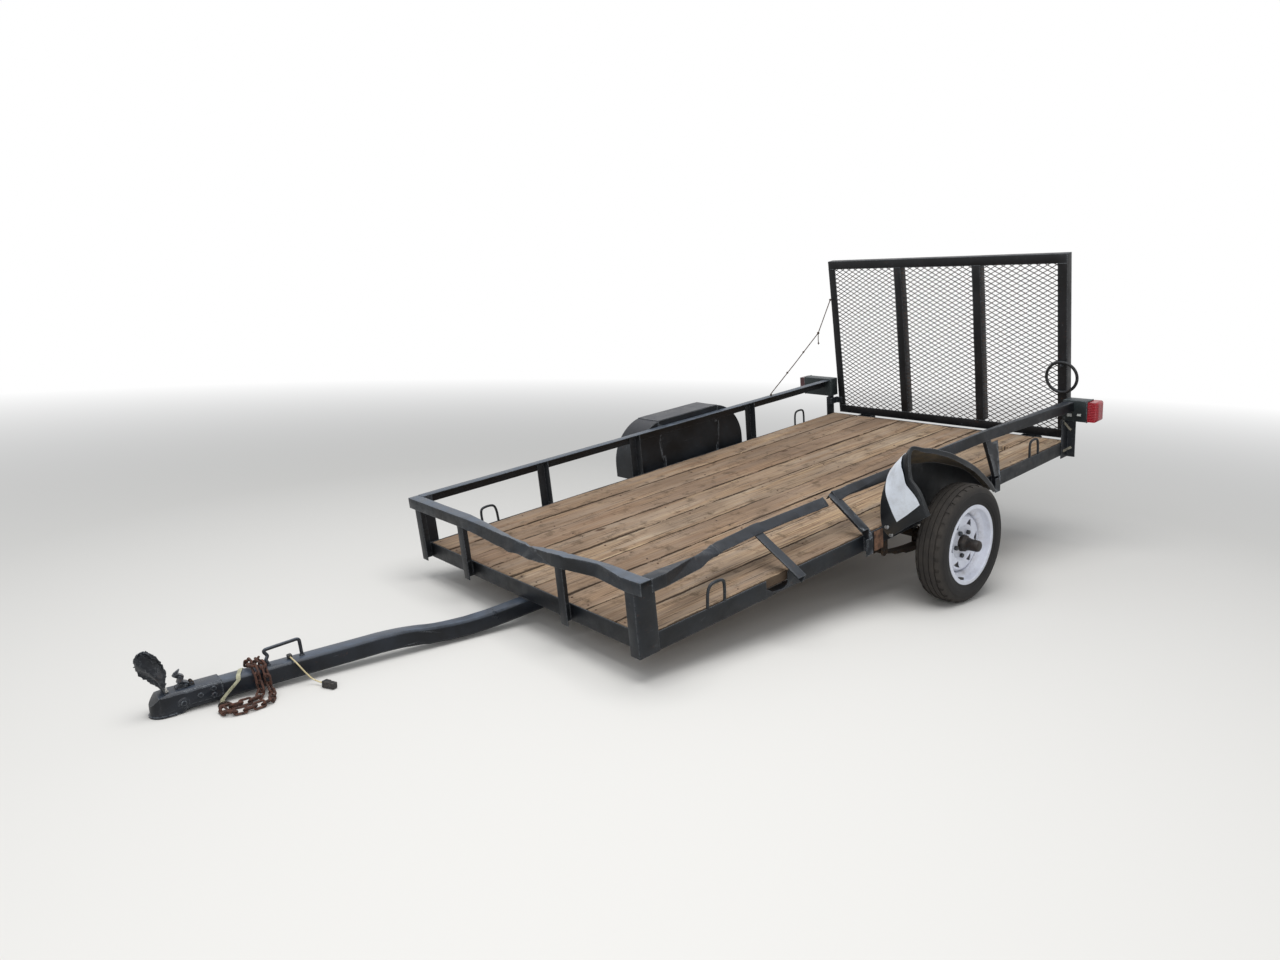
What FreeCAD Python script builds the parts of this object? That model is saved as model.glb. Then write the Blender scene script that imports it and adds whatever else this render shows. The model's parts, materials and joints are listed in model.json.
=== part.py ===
import FreeCAD, Part
import math
import os

from FreeCAD import Vector

# Small open utility trailer with a plank deck, angle-iron rails, a mesh ramp gate and crash damage.
# Lengths are millimetres. The frame is drawn level: X forward from the rear edge of the frame,
# Y to the trailer's left, Z up from the underside of the frame. At the end everything is tipped
# nose down onto its tyres and coupler, as it stands, and centred over its own footprint.

# Chassis frame of steel angle, one leg upright and one leg turned in at the bottom
frame_length = 3050.0
frame_width = 1575.0
frame_height = 70.0
frame_foot = 50.0
frame_wall = 5.0
half_width = frame_width / 2
cross_count = 5
cross_flange = 50.0
cross_pitch = frame_length / (cross_count + 1)

# Deck of long planks between the upright legs
plank_count = 9
plank_thickness = 38.0
plank_gap = 4.0
plank_end_gap = 3.0
broken_plank = 7
broken_from = 262.0
broken_length = 83.0
broken_strip = 15.0

# Posts stand outside the frame and carry the rails
post_size = 45.0
post_wall = 4.0
rail_height = 296.0
rail_leg = 50.0
rail_wall = 4.0
rail_seat = 0.3
post_top = rail_height - rail_wall - rail_seat
bent_post_short = 2.0
bent_post_gap = 0.3
front_dent_post = 270.0
rail_start = 42.3
front_post_right = -(half_width - 387.5)
front_post_left = half_width - 457.5
front_dent_y = (front_post_right + front_post_left) / 2 + 55.0
front_dent_half = 110.0
rear_post_width = 72.0
rear_post_drop = 17.0

# Running gear
axle_setback = 1700.0
axle_x = frame_length - axle_setback
axle_drop = 73.0
axle_radius = 22.0
spindle_radius = 15.0
tyre_radius = 268.0
tyre_width = 140.0
wheel_y = half_width + 158.5
axle_end = half_width + 72.5
spindle_end = wheel_y + 54.0
round_sides = 40
hub_sides = 24
small_sides = 8
arc_step = 12.0
rim_half_width = 61.0
flange_radius = 181.0
bead_radius = 165.0
well_radius = 140.0
rim_wall = 3.0
disc_offset = 12.0
window_count = 5
nut_circle = 57.0
hub_radius = 42.0
hub_barrel_radius = 31.0
cap_radius = 26.0
cap_end = wheel_y + 100.0
hub_clearance = 0.5

# Leaf springs under the axle
spring_y = half_width - 32.5
spring_width = 45.0
spring_span = 660.0
spring_sag = 46.0
leaf_thickness = 7.0
leaf_flats = 12
leaf_lengths = (1.0, 0.74, 0.48)
eye_radius = 15.0
spring_bolt_radius = 7.0
hanger_wall = 5.0
hanger_width = 46.0
pad_thickness = 8.0
u_bolt_radius = 5.0

# Drawbar: one square tube with a joggle, and the ball coupler on its end
tongue_size = 65.0
tongue_wall = 4.0
tongue_start = axle_x + 210.0
tongue_corner = 9.0
# x and height of the tube's top face
tongue_top = ((tongue_start, 0.0), (frame_length + 170.0, 0.0), (frame_length + 350.0, 17.0),
              (frame_length + 535.0, 67.0), (frame_length + 1280.0, 141.0))
tongue_end = tongue_top[-1][0]
coupler_wall = 4.0
coupler_overlap = 110.0
ball_radius = 25.8
ball_mouth = 20.0
cup_wall = 7.0
cup_height = 72.0
cup_reach = 62.0

# Ramp gate
gate_clearance = 19.5
gate_width = frame_width - 2 * gate_clearance
gate_height = 1004.0
gate_leg = 50.0
gate_wall = 4.0
gate_lean = 4.5
gate_bar_y = (-gate_width / 6, gate_width / 6)
gate_set = 22.0
gate_stop_gap = 0.4
gate_stop_lap = 30.0
gate_stop_thickness = 6.0
gate_stop_low = 136.0
gate_stop_high = 176.0
pivot_x = -62.0
pivot_z = 52.0
pin_radius = 8.0
barrel_radius = 12.0
pin_clearance = 0.4
hinge_inset = 208.0
barrel_length = 70.0
hinge_places = (-(gate_width / 2 - hinge_inset) - barrel_length / 2, gate_width / 2 - hinge_inset - barrel_length / 2)
lug_thickness = 8.0
lug_clearance = 5.5
mesh_thickness = 3.0
mesh_long = 150.0
mesh_short = 75.0
mesh_strand = 7.0
ring_radius = 83.0
ring_rod = 8.0

# Fenders: a pressed sheet with an inner plate and an outer lip
fender_sheet = 3.0
fender_lip = 26.0
fender_gap = 0.3
fender_outer = wheel_y + tyre_width / 2
fender_back = 60.0
fender_length = 872.0
fender_top = 403.0
fender_foot = 93.0
fender_corner = 240.0

# Lamps, loops and small fittings
lamp_low = 190.0
lamp_height = 114.0
lamp_depth = 72.0
lamp_inner = gate_width / 2 + 8.0
lamp_left_end = lamp_inner + 182.0
lamp_right_end = lamp_inner + 274.0
lens_length = 52.0
lens_round = 18.0
loop_x = (365.0, frame_length - 335.0)
loop_span = 100.0
loop_height = 88.0
loop_rod = 6.0
handle_x = tongue_end - 322.0
handle_span = 122.0
handle_height = 62.0
handle_seat = 1.2

# Safety chain: two strands over the drawbar and a loose loop on the ground
link_length = 46.0
link_width = 28.0
link_bar = 8.0
link_pitch = link_length - 2 * link_bar + 0.3
chain_x = (tongue_end - 243.0, tongue_end - 215.0)
chain_off = 13.0

# Pale strap across the drawbar, and the wiring lead that lies under its handle
strap_width = 12.0
strap_thickness = 3.0
strap_x = tongue_end - 186.0
strap_fall = 88.0
strap_ring = 15.0
lead_radius = 2.5
lead_yaw = 115.0
plug_length = 50.0
plug_size = 24.0

X = Vector(1, 0, 0)
Y = Vector(0, 1, 0)
Z = Vector(0, 0, 1)
level = {}


def box(x0, x1, y0, y1, z0, z1):
    return Part.makeBox(x1 - x0, y1 - y0, z1 - z0, Vector(x0, y0, z0))


def rod(start, end, radius):
    start = Vector(*start)
    end = Vector(*end)
    return Part.makeCylinder(radius, (end - start).Length, start, end - start)


def join(shapes):
    joined = shapes[0].fuse(list(shapes[1:])) if len(shapes) > 1 else shapes[0]
    return joined.removeSplitter()


def prism_xz(points, y0, y1):
    wire = Part.makePolygon([Vector(x, y0, z) for x, z in points] + [Vector(points[0][0], y0, points[0][1])])
    return Part.Face(wire).extrude(Vector(0, y1 - y0, 0))


def turned(shape, centre, axis, degrees):
    copy = shape.copy()
    copy.rotate(Vector(*centre), axis, degrees)
    return copy


def outline(points):
    """Closed flat face through points given as x, y, z."""
    corners = [Vector(*p) for p in points]
    return Part.Face(Part.makePolygon(corners + [corners[0]]))


def panel(corners):
    """Faces of a four-cornered panel: one if it is flat, or else two triangles along its shorter diagonal."""
    a, b, c, d = corners
    if (c - a).Length > (d - b).Length:
        a, b, c, d = b, c, d, a
    normal = (b - a).cross(c - a)
    if normal.Length > 1e-9 and abs(normal.normalize().dot(d - a)) < 1e-6:
        return [outline(corners)]
    return [outline(t) for t in ((a, b, c), (a, c, d)) if (t[1] - t[0]).cross(t[2] - t[0]).Length > 1e-6]


def skin(rings, closed=False):
    """Solid through rings of points with flat panels between them, round again to the first or capped."""
    faces = []
    following = rings[1:] + rings[:1] if closed else rings[1:]
    for here, there in zip(rings, following):
        for i in range(len(here)):
            j = (i + 1) % len(here)
            faces += panel((here[i], here[j], there[j], there[i]))
    if not closed:
        faces += [outline(rings[0]), outline(rings[-1])]
    shell = Part.makeShell(faces)
    shell.sewShape()
    solid = Part.Solid(shell)
    if solid.Volume < 0:
        solid.reverse()
    return solid


def bar(points, radius, closed=False, sides=small_sides):
    """Bar of that many sides along straight runs, mitred where they meet."""
    points = [Vector(*p) for p in points]
    count = len(points)
    runs = [(points[(i + 1) % count] - points[i]).normalize() for i in range(count if closed else count - 1)]
    across = runs[0].cross(Z if abs(runs[0].z) < 0.9 else X).normalize()
    up = across.cross(runs[0])
    ring = []
    for k in range(sides):
        angle = 2 * math.pi * (k + 0.5) / sides
        ring.append(points[0] + (across * math.cos(angle) + up * math.sin(angle)) * radius)
    rings = []
    for i in range(count):
        before = runs[i - 1] if closed or i > 0 else runs[0]
        after = runs[i] if closed or i < count - 1 else runs[-1]
        mitre = (before + after).normalize()
        along = before if rings else after
        ring = [q + along * ((points[i] - q).dot(mitre) / along.dot(mitre)) for q in ring]
        rings.append(ring)
    return skin(rings, closed)


def arc_points(centre, start, end, count, radius):
    """Points in the XZ plane on an arc from one angle to another, counted from +X towards +Z."""
    x, y, z = centre
    placed = []
    for i in range(count):
        angle = math.radians(start + (end - start) * i / (count - 1))
        placed.append((x + radius * math.cos(angle), y, z + radius * math.sin(angle)))
    return placed


def bent_path(points):
    """Points along straight runs joined by tangent arcs as large as the runs allow, and the arcs' radii."""
    points = [Vector(*p) for p in points]
    placed = [points[0]]
    radii = []
    for a, b, c in zip(points, points[1:], points[2:]):
        before = (b - a).normalize()
        after = (c - b).normalize()
        reach = 0.45 * min((b - a).Length, (c - b).Length)
        turn = before.getAngle(after)
        radius = reach / math.tan(turn / 2)
        radii.append(radius)
        inward = (after - before * after.dot(before)).normalize()
        steps = max(2, round(math.degrees(turn) / arc_step))
        for k in range(steps + 1):
            angle = turn * k / steps
            placed.append(b - before * reach + before * radius * math.sin(angle)
                          + inward * radius * (1 - math.cos(angle)))
    return placed + [points[-1]], radii


def cord_tube(name, points, radius):
    path, radii = bent_path(points)
    length = sum((b - a).Length for a, b in zip(path, path[1:]))
    print(name, "length", round(length, 1), "least radius", round(min(radii), 1))
    return bar(path, radius)


def mirrored_y(shape):
    return shape.mirror(Vector(0, 0, 0), Y)


def offset_line(points, distance):
    """Points of a line in the XZ plane moved down by a distance measured square to it."""
    moved = []
    for i, (x, z) in enumerate(points):
        normals = []
        for a, b in ((i - 1, i), (i, i + 1)):
            if a >= 0 and b < len(points):
                dx = points[b][0] - points[a][0]
                dz = points[b][1] - points[a][1]
                size = math.hypot(dx, dz)
                normals.append((dz / size, -dx / size))
        nx = sum(n[0] for n in normals) / len(normals)
        nz = sum(n[1] for n in normals) / len(normals)
        scale = distance / (nx * nx + nz * nz)
        moved.append((x + nx * scale, z + nz * scale))
    return moved


def side_frame(side):
    """Long side angle: upright leg outside, foot turned in."""
    outer = side * half_width
    inner = side * (half_width - frame_wall)
    foot_edge = side * (half_width - frame_foot)
    leg = box(0, frame_length, min(outer, inner), max(outer, inner), 0, frame_height)
    foot = box(0, frame_length, min(inner, foot_edge), max(inner, foot_edge), 0, frame_wall)
    return join([leg, foot])


def end_frame(x_outer, x_inner, x_foot):
    """Front or rear angle, fitted between the side angles."""
    reach = half_width - frame_wall
    leg = box(min(x_outer, x_inner), max(x_outer, x_inner), -reach, reach, frame_wall, frame_height)
    reach = half_width - frame_foot
    foot = box(min(x_outer, x_foot), max(x_outer, x_foot), -reach, reach, 0, frame_wall)
    return join([leg, foot])


def cross_member(x):
    top = frame_height - plank_thickness
    reach = half_width - frame_wall
    flange = box(x, x + cross_flange, -reach, reach, top - frame_wall, top)
    leg = box(x, x + frame_wall, -reach, reach, frame_wall, top - frame_wall)
    reach = half_width - frame_foot
    heel = box(x, x + frame_wall, -reach, reach, 0, frame_wall)
    return join([flange, leg, heel])


def make_frame():
    left = side_frame(1)
    # torn stretch of the left upright leg at the hit, as distance behind the front and height
    torn = ((732, 90), (720, 22), (698, 9), (640, 12), (612, 30), (604, 90))
    tear = prism_xz([(frame_length - back, z) for back, z in torn], half_width - frame_wall - 1, half_width + 1)
    level["side_frame_left"] = left.cut(tear)
    level["side_frame_right"] = side_frame(-1)
    level["front_frame"] = end_frame(frame_length, frame_length - frame_wall, frame_length - frame_foot)
    level["rear_frame"] = end_frame(0, frame_wall, frame_foot)
    level["cross_members"] = Part.makeCompound([cross_member(cross_pitch * (i + 1))
                                                 for i in range(cross_count)])


def make_deck():
    room = 2 * (half_width - frame_wall)
    width = (room - plank_gap * (plank_count + 1)) / plank_count
    planks = []
    x0 = frame_wall + plank_end_gap
    x1 = frame_length - frame_wall - plank_end_gap
    for i in range(plank_count):
        y0 = -room / 2 + plank_gap + i * (width + plank_gap)
        plank = box(x0, x1, y0, y0 + width, frame_height - plank_thickness, frame_height)
        if i == broken_plank:
            plank = plank.cut(broken_hole(y0 + broken_strip, y0 + width + 1))
        planks.append(plank)
    level["deck_planks"] = Part.makeCompound(planks)


def broken_hole(y0, y1):
    """Jagged gap where a piece of a plank has broken out."""
    # columns: share of the gap's length, share of its width
    jagged = ((0.0, 0.15), (0.12, 0.45), (0.02, 0.7), (0.08, 1.0), (0.93, 1.0), (1.0, 0.62), (0.86, 0.4), (0.95, 0.0),
              (0.4, 0.06))
    points = [(broken_from + broken_length * u, y0 + (y1 - y0) * v, 0) for u, v in jagged]
    return outline(points).extrude(Vector(0, 0, frame_height + 1))


def angle_section(size_u, size_v, wall):
    """Corner at the outer top; u runs outwards and v up."""
    return ((0, 0), (-size_u, 0), (-size_u, -wall), (-wall, -wall), (-wall, -size_v), (0, -size_v))


def rail_loft(stations, along):
    """Angle rail through stations of x, y, z and lean; the section stays square to one axis."""
    rings = []
    for x, y, z, lean in stations:
        tilt = math.radians(lean)
        points = []
        for u, v in angle_section(rail_leg, rail_leg, rail_wall):
            out = u * math.cos(tilt) - v * math.sin(tilt)
            up = u * math.sin(tilt) + v * math.cos(tilt)
            if along == "x":
                points.append(Vector(x, y + math.copysign(out, y * out), z + up))
            else:
                points.append(Vector(x + out, y, z + up))
        rings.append(points)
    return skin(rings)


def knocked_over(stations):
    """Left rail stations from x, lean and sag: the rail folds inwards about the top of the frame."""
    placed = []
    for x, lean, sag in stations:
        tilt = math.radians(lean)
        out = post_size + rail_wall + bent_post_gap
        up = rail_height - frame_height
        y = half_width + out * math.cos(tilt) - up * math.sin(tilt)
        z = frame_height + out * math.sin(tilt) + up * math.cos(tilt)
        placed.append((x, y, z - sag, lean))
    return placed


def side_post(x, side, low=0.0, high=post_top):
    """Upright angle post outside the frame, web across and flat face outwards."""
    inner = side * half_width
    face = side * (half_width + post_size - post_wall)
    outer = side * (half_width + post_size)
    web = box(x, x + post_wall, min(inner, outer), max(inner, outer), low, high)
    flat = box(x + post_wall, x + post_size, min(face, outer), max(face, outer), low, high)
    return join([web, flat])


def front_post(y, high):
    outer = frame_length + post_size
    web = box(frame_length, outer, y, y + post_wall, 0, high)
    flat = box(outer - post_wall, outer, y + post_wall, y + post_size, 0, high)
    return join([web, flat])


def bent_post(x, lean):
    """Side post knocked inwards: a stub on the frame and a leaning upper part."""
    stub = side_post(x, 1, 0.0, frame_height)
    upper = side_post(x, 1, frame_height, post_top - bent_post_short)
    upper = turned(upper, (x, half_width, frame_height), X, lean)
    fan = [Vector(x, half_width, frame_height)]
    for angle in (0, lean / 2, lean):
        a = math.radians(angle)
        fan.append(Vector(x, half_width + post_size * math.cos(a), frame_height + post_size * math.sin(a)))
    fold = Part.Face(Part.makePolygon(fan + [fan[0]])).extrude(Vector(post_wall, 0, 0))
    return join([stub, upper, fold])


def post_gusset(x, lean):
    """Plate between the rear bent post and the side angle, drawn upright and leant with the post."""
    face = half_width + post_size
    plate = outline(((x - 60, face - 0.0, post_top - 60), (x, face, frame_height), (x, face, post_top - 60)))
    return turned(plate.extrude(Vector(0, -post_wall, 0)), (x, half_width, frame_height), X, lean)


def make_posts():
    level["posts_right"] = Part.makeCompound([side_post(x, -1) for x in (axle_x - 575, axle_x + 362,
                                                                       frame_length - 715)])
    level["posts_front"] = Part.makeCompound([front_post(front_post_right, post_top),
                                              front_post(front_post_left, front_dent_post)])
    corner = post_size + post_wall
    corners = []
    for side in (-1, 1):
        y_out = side * half_width
        y_in = side * (half_width - post_size)
        web = box(frame_length, frame_length + post_size, min(y_out, y_out - side * post_wall),
                  max(y_out, y_out - side * post_wall), 0, post_top)
        flat = box(frame_length + post_size - post_wall, frame_length + post_size, min(y_in, y_out),
                   max(y_in, y_out), 0, post_top)
        tab = box(frame_length - corner, frame_length + post_size, min(y_out, y_out + side * post_wall),
                  max(y_out, y_out + side * post_wall), 0, post_top)
        corners.append(join([web, flat, tab]))
    level["posts_corner"] = Part.makeCompound(corners)
    # the front one has torn off the frame and hangs from the rail, its foot swung out
    x = frame_length - 740
    torn_off = side_post(x, 1, 0.0, post_top - bent_post_short)
    level["post_bent_front"] = turned(torn_off, (x, half_width, frame_height), X, 59.0)
    level["post_bent_middle"] = bent_post(axle_x + 478, 53.0)
    level["post_bent_rear"] = join([bent_post(axle_x - 560, 17.0), post_gusset(axle_x - 560, 17.0)])
    rears = []
    for side in (-1, 1):
        y0 = side * half_width
        y1 = side * (half_width + post_size)
        yw = side * (half_width + post_wall)
        web = box(0, rear_post_width, min(y0, yw), max(y0, yw), -rear_post_drop, lamp_low - rail_seat)
        flat = box(0, post_wall, min(yw, y1), max(yw, y1), -rear_post_drop, lamp_low - rail_seat)
        rears.append(join([web, flat] + gate_stop(side)))
    level["posts_rear"] = Part.makeCompound(rears)


def gate_stop(side):
    """Lug on a rear post that the gate's upright leans on, square to the leaning gate."""
    inner = side * (gate_width / 2 - gate_stop_lap)
    strap = side * (half_width - gate_stop_thickness)
    face = pivot_x + gate_set + gate_stop_gap
    pad = box(face, face + gate_stop_thickness, min(inner, strap), max(inner, strap),
              gate_stop_low, gate_stop_high)
    pad = turned(pad, (pivot_x, 0, pivot_z), Y, gate_lean)
    bounds = pad.BoundBox
    arm = box(bounds.XMin, rear_post_width / 2, min(strap, side * half_width), max(strap, side * half_width),
              bounds.ZMin, bounds.ZMax)
    return [pad, arm]


def make_rails():
    edge = half_width + post_size + rail_wall
    front = frame_length + post_size + rail_wall
    level["rail_right"] = rail_loft(((rail_start, -edge, rail_height, 0),
                                     (front - rail_leg - rail_seat, -edge, rail_height, 0)), "x")
    # columns: set back, y, drop, lean
    dented = ((0, -edge, 0, 0), (0, front_post_right + 55, 0, 0), (12, front_dent_y - front_dent_half, 16, 22),
              (20, front_dent_y + front_dent_half, 30, 34), (2, front_post_left - 10, 11, 8),
              (2, front_post_left + 55, 9, 8), (34, front_post_left + 230, 8, 18), (0, edge - 105, 0, 0),
              (0, edge, 0, 0))
    level["rail_front"] = rail_loft([(front - back, y, rail_height - drop, lean)
                                     for back, y, drop, lean in dented], "y")
    # columns: x, lean, sag
    level["rail_left_rear"] = rail_loft(knocked_over(((rail_start, 0, 0), (axle_x - 570, 17, 0),
                                                      (axle_x - 505, 17, 0), (axle_x - 50, 34, 10),
                                                      (axle_x + 470, 53, 0), (axle_x + 500, 53, 0))), "x")
    bend = frame_length - 740
    level["rail_left_front"] = rail_loft(knocked_over(((bend - 405, 55, 4), (bend - 10, 59, 0), (bend + 55, 59, 0),
                                                       (bend + 250, 60, 6), (bend + 410, 36, 44), (bend + 675, 0, 0),
                                                       (front - rail_leg - rail_seat, 0, 0))), "x")


def make_loops():
    loops = []
    radius = loop_span / 2 - loop_rod
    for x in loop_x:
        for side in (-1, 1):
            y = side * (half_width - frame_wall / 2)
            rise = frame_height + loop_height - loop_span / 2
            bow = arc_points((x, y, rise), 0, 180, 9, radius)
            loops.append(bar([(x + radius, y, frame_height)] + bow + [(x - radius, y, frame_height)], loop_rod))
    level["tie_loops"] = Part.makeCompound(loops)


def make_axle():
    tube = rod((axle_x, -axle_end, -axle_drop), (axle_x, axle_end, -axle_drop), axle_radius)
    spindle = rod((axle_x, -spindle_end, -axle_drop), (axle_x, spindle_end, -axle_drop), spindle_radius)
    level["axle"] = join([tube, spindle])


def leaf_rise(x):
    """Height of the bent spring above its middle, in flat steps."""
    radius = (spring_span ** 2 / 4 + spring_sag ** 2) / (2 * spring_sag)
    step = spring_span / leaf_flats
    k = min(int(abs(x) / step + 1e-9), leaf_flats // 2 - 1)
    a, b = [radius - math.sqrt(radius ** 2 - (step * n) ** 2) for n in (k, k + 1)]
    return a + (b - a) * (abs(x) - step * k) / step


def leaf(length, top_z):
    """One leaf of the spring, centred under the axle."""
    half = spring_span / 2 * length
    step = spring_span / leaf_flats
    stations = [step * n for n in range(-leaf_flats // 2, leaf_flats // 2 + 1) if abs(step * n) < half - 1]
    stations = [-half] + stations + [half]
    upper = [(axle_x + x, top_z + leaf_rise(x)) for x in stations]
    lower = [(x, z - leaf_thickness) for x, z in reversed(upper)]
    body = prism_xz(upper + lower, spring_y - spring_width / 2, spring_y + spring_width / 2)
    return body, top_z + leaf_rise(half)


def round_plate(x, y, z, radius, thickness, sides):
    """Flat disc or bolt head with its axis across the trailer."""
    points = []
    for k in range(sides):
        angle = 2 * math.pi * (k + 0.5) / sides
        points.append((x + radius * math.cos(angle), y, z + radius * math.sin(angle)))
    return outline(points).extrude(Vector(0, thickness, 0))


def make_springs():
    seat = -axle_drop - axle_radius - pad_thickness
    leaves = []
    eye_z = 0.0
    for i, length in enumerate(leaf_lengths):
        body, rise = leaf(length, seat - i * leaf_thickness)
        leaves.append(body)
        if i == 0:
            eye_z = rise + eye_radius - leaf_thickness
    y0 = spring_y - spring_width / 2
    y1 = spring_y + spring_width / 2
    eyes = []
    for s in (-1, 1):
        x = axle_x + s * spring_span / 2
        eyes.append(round_plate(x, y0, eye_z, eye_radius, spring_width, 16))
    spring = join(leaves + eyes)
    for s in (-1, 1):
        x = axle_x + s * spring_span / 2
        spring = spring.cut(round_plate(x, y0 - 1, eye_z, spring_bolt_radius + 0.5, spring_width + 2, 12))
    level["spring_left"] = spring
    level["spring_right"] = mirrored_y(spring)

    hangers = []
    for s in (-1, 1):
        x = axle_x + s * spring_span / 2
        parts = [box(x - hanger_width / 2, x + hanger_width / 2, y0 - hanger_wall - 1, y1 + hanger_wall + 1,
                     -hanger_wall, 0)]
        for y in (y0 - hanger_wall - 1, y1 + 1):
            parts.append(box(x - hanger_width / 2, x + hanger_width / 2, y, y + hanger_wall, eye_z, -hanger_wall))
            parts.append(round_plate(x, y, eye_z, hanger_width / 2, hanger_wall, 12))
        parts.append(round_plate(x, y0 - hanger_wall - 9, eye_z, spring_bolt_radius,
                                 spring_width + 2 * hanger_wall + 18, 12))
        for y in (y0 - hanger_wall - 9, y1 + hanger_wall + 1):
            parts.append(round_plate(x, y, eye_z, 12, 8, 6))
        hangers.append(join(parts))
    hangers += [mirrored_y(h) for h in hangers]
    level["spring_hangers"] = Part.makeCompound(hangers)

    low = seat - leaf_thickness * len(leaf_lengths)
    clamps = []
    for side in (-1, 1):
        y = side * spring_y
        reach = axle_radius + u_bolt_radius + 2.0
        pad = box(axle_x - 34, axle_x + 34, y - spring_width / 2, y + spring_width / 2, seat + 1.4,
                  -axle_drop)
        pad = pad.cut(rod((axle_x, y - 60, -axle_drop), (axle_x, y + 60, -axle_drop), axle_radius))
        plate = box(axle_x - 48, axle_x + 48, y - 42, y + 42, low - pad_thickness, low)
        parts = [plate]
        for dy in (-30, 30):
            foot = low - pad_thickness - 14
            bow = arc_points((axle_x, y + dy, -axle_drop), 0, 180, 9, reach)
            parts.append(bar([(axle_x + reach, y + dy, foot)] + bow + [(axle_x - reach, y + dy, foot)], u_bolt_radius))
        clamps.append(join(parts))
        clamps.append(pad)
    level["axle_clamps"] = Part.makeCompound(clamps)


def spun(points, sides):
    """Closed outline of y and radius turned about the axle line in flat steps."""
    rings = []
    for k in range(sides):
        angle = 2 * math.pi * k / sides
        rings.append([Vector(axle_x + r * math.sin(angle), y, -axle_drop + r * math.cos(angle)) for y, r in points])
    return skin(rings, closed=True)


def make_wheel():
    y = wheel_y
    w = rim_half_width
    t = rim_wall
    barrel = spun(((y - w, flange_radius), (y - w + t, flange_radius), (y - w + t, bead_radius),
                   (y - w + 24, bead_radius), (y - w + 34, well_radius), (y + w - 44, well_radius),
                   (y + w - 30, bead_radius), (y + w - t, bead_radius), (y + w - t, flange_radius),
                   (y + w, flange_radius), (y + w, bead_radius - t), (y + w - 31, bead_radius - t),
                   (y + w - 45, well_radius - t), (y - w + 33, well_radius - t),
                   (y - w + 23, bead_radius - t), (y - w, bead_radius - t)), round_sides)
    face = y + disc_offset
    disc = spun(((face - 24, well_radius - t / 2), (face - 18, well_radius - t / 2), (face + 8, 118),
                 (face + 8, 82), (face, 70), (face, 34), (face - 4, 34), (face - 4, 72),
                 (face + 4, 84), (face + 4, 116), (face - 24, 133)), round_sides)
    holes = []
    for i in range(window_count):
        middle = 360 / window_count * (i + 0.5)
        tri = []
        for r, a in ((86, -9), (112, 0), (86, 9)):
            angle = math.radians(middle + a)
            tri.append(Vector(axle_x + r * math.sin(angle), face - 30, -axle_drop + r * math.cos(angle)))
        holes.append(Part.Face(Part.makePolygon(tri + [tri[0]])).extrude(Vector(0, 60, 0)))
    disc = disc.cut(Part.makeCompound(holes))
    level["rim_left"] = join([barrel, disc])

    gap = hub_clearance
    bottom = spindle_end + 1
    bore = spindle_radius + gap
    # columns: y, radius
    hub = spun(((y - 80, 1), (y - 80, 36), (y - 66, hub_radius), (face - 14, hub_radius), (face - 14, 72),
                (face - 4.3, 72), (face - 4.3, 33), (face + 26, hub_barrel_radius), (face + 30, cap_radius),
                (cap_end - 6, cap_radius), (cap_end, cap_radius - 8), (cap_end, 1)), hub_sides)
    core = rod((axle_x, y - 80, -axle_drop), (axle_x, cap_end, -axle_drop), 2)
    hub = join([hub, core]).cut(rod((axle_x, y - 81, -axle_drop), (axle_x, bottom, -axle_drop), bore))
    nuts = []
    for i in range(window_count):
        angle = math.radians(360 / window_count * i)
        nx = axle_x + nut_circle * math.sin(angle)
        nz = -axle_drop + nut_circle * math.cos(angle)
        nuts.append(round_plate(nx, face + 0.3, nz, 10.5, 16, 6))
    level["hub_left"] = hub
    level["wheel_nuts_left"] = Part.makeCompound(nuts)

    half = tyre_width / 2
    seat = bead_radius + 0.4
    lip = w - t - 0.4
    # columns: distance from the tyre's middle, radius
    outer = ((lip, seat), (lip, flange_radius + 2), (half, flange_radius + 31), (half - 4, tyre_radius - 32),
             (half - 16, tyre_radius - 10), (half - 34, tyre_radius))
    inner = ((-lip + 24, seat + 22), (lip - 24, seat + 22))
    profile = [(-a, r) for a, r in outer] + list(reversed(outer)) + [inner[1], inner[0]]
    level["tyre_left"] = spun([(y + a, r) for a, r in profile], round_sides)
    for name in ("rim", "hub", "wheel_nuts", "tyre"):
        level[name + "_right"] = mirrored_y(level[name + "_left"])


def fender(stations, side, base):
    """Bent sheet through stations of inner x, z, outer x, z, reach, lip angle and the inner plate's lower x, z."""
    wires = []
    t = fender_sheet
    for xi, zi, xo, zo, reach, angle, xf, zf in stations:
        a = math.radians(angle)
        e = Vector(math.cos(a), 0, math.sin(a))
        b = Vector(xi, side * base, zi)
        c = Vector(xo, side * (base + reach), zo)
        f = Vector(xf, side * base, zf)
        w = (c - b).normalize()
        wires.append([f, b, c, c - e * fender_lip, c - e * fender_lip - w * t, c - e * t - w * t,
                      b - e * t + w * t, f + w * t])
    return skin(wires)


def arch(inset):
    """Side view of the whole fender as a flat face: legs, round corners and a level top, moved in by an inset."""
    middle = axle_x - fender_back
    half = fender_length / 2 - inset
    top = fender_top - axle_drop - inset
    foot = fender_foot - axle_drop
    r = fender_corner - inset
    turn = r * math.sqrt(0.5)
    left, right = middle - half, middle + half

    def at(x, z):
        return Vector(x, 0, z)
    edges = [Part.LineSegment(at(left, foot), at(left, top - r)).toShape(),
             Part.Arc(at(left, top - r), at(left + r - turn, top - r + turn), at(left + r, top)).toShape(),
             Part.LineSegment(at(left + r, top), at(right - r, top)).toShape(),
             Part.Arc(at(right - r, top), at(right - r + turn, top - r + turn), at(right, top - r)).toShape(),
             Part.LineSegment(at(right, top - r), at(right, foot)).toShape(),
             Part.LineSegment(at(right, foot), at(left, foot)).toShape()]
    return Part.Face(Part.Wire(edges))


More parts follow.
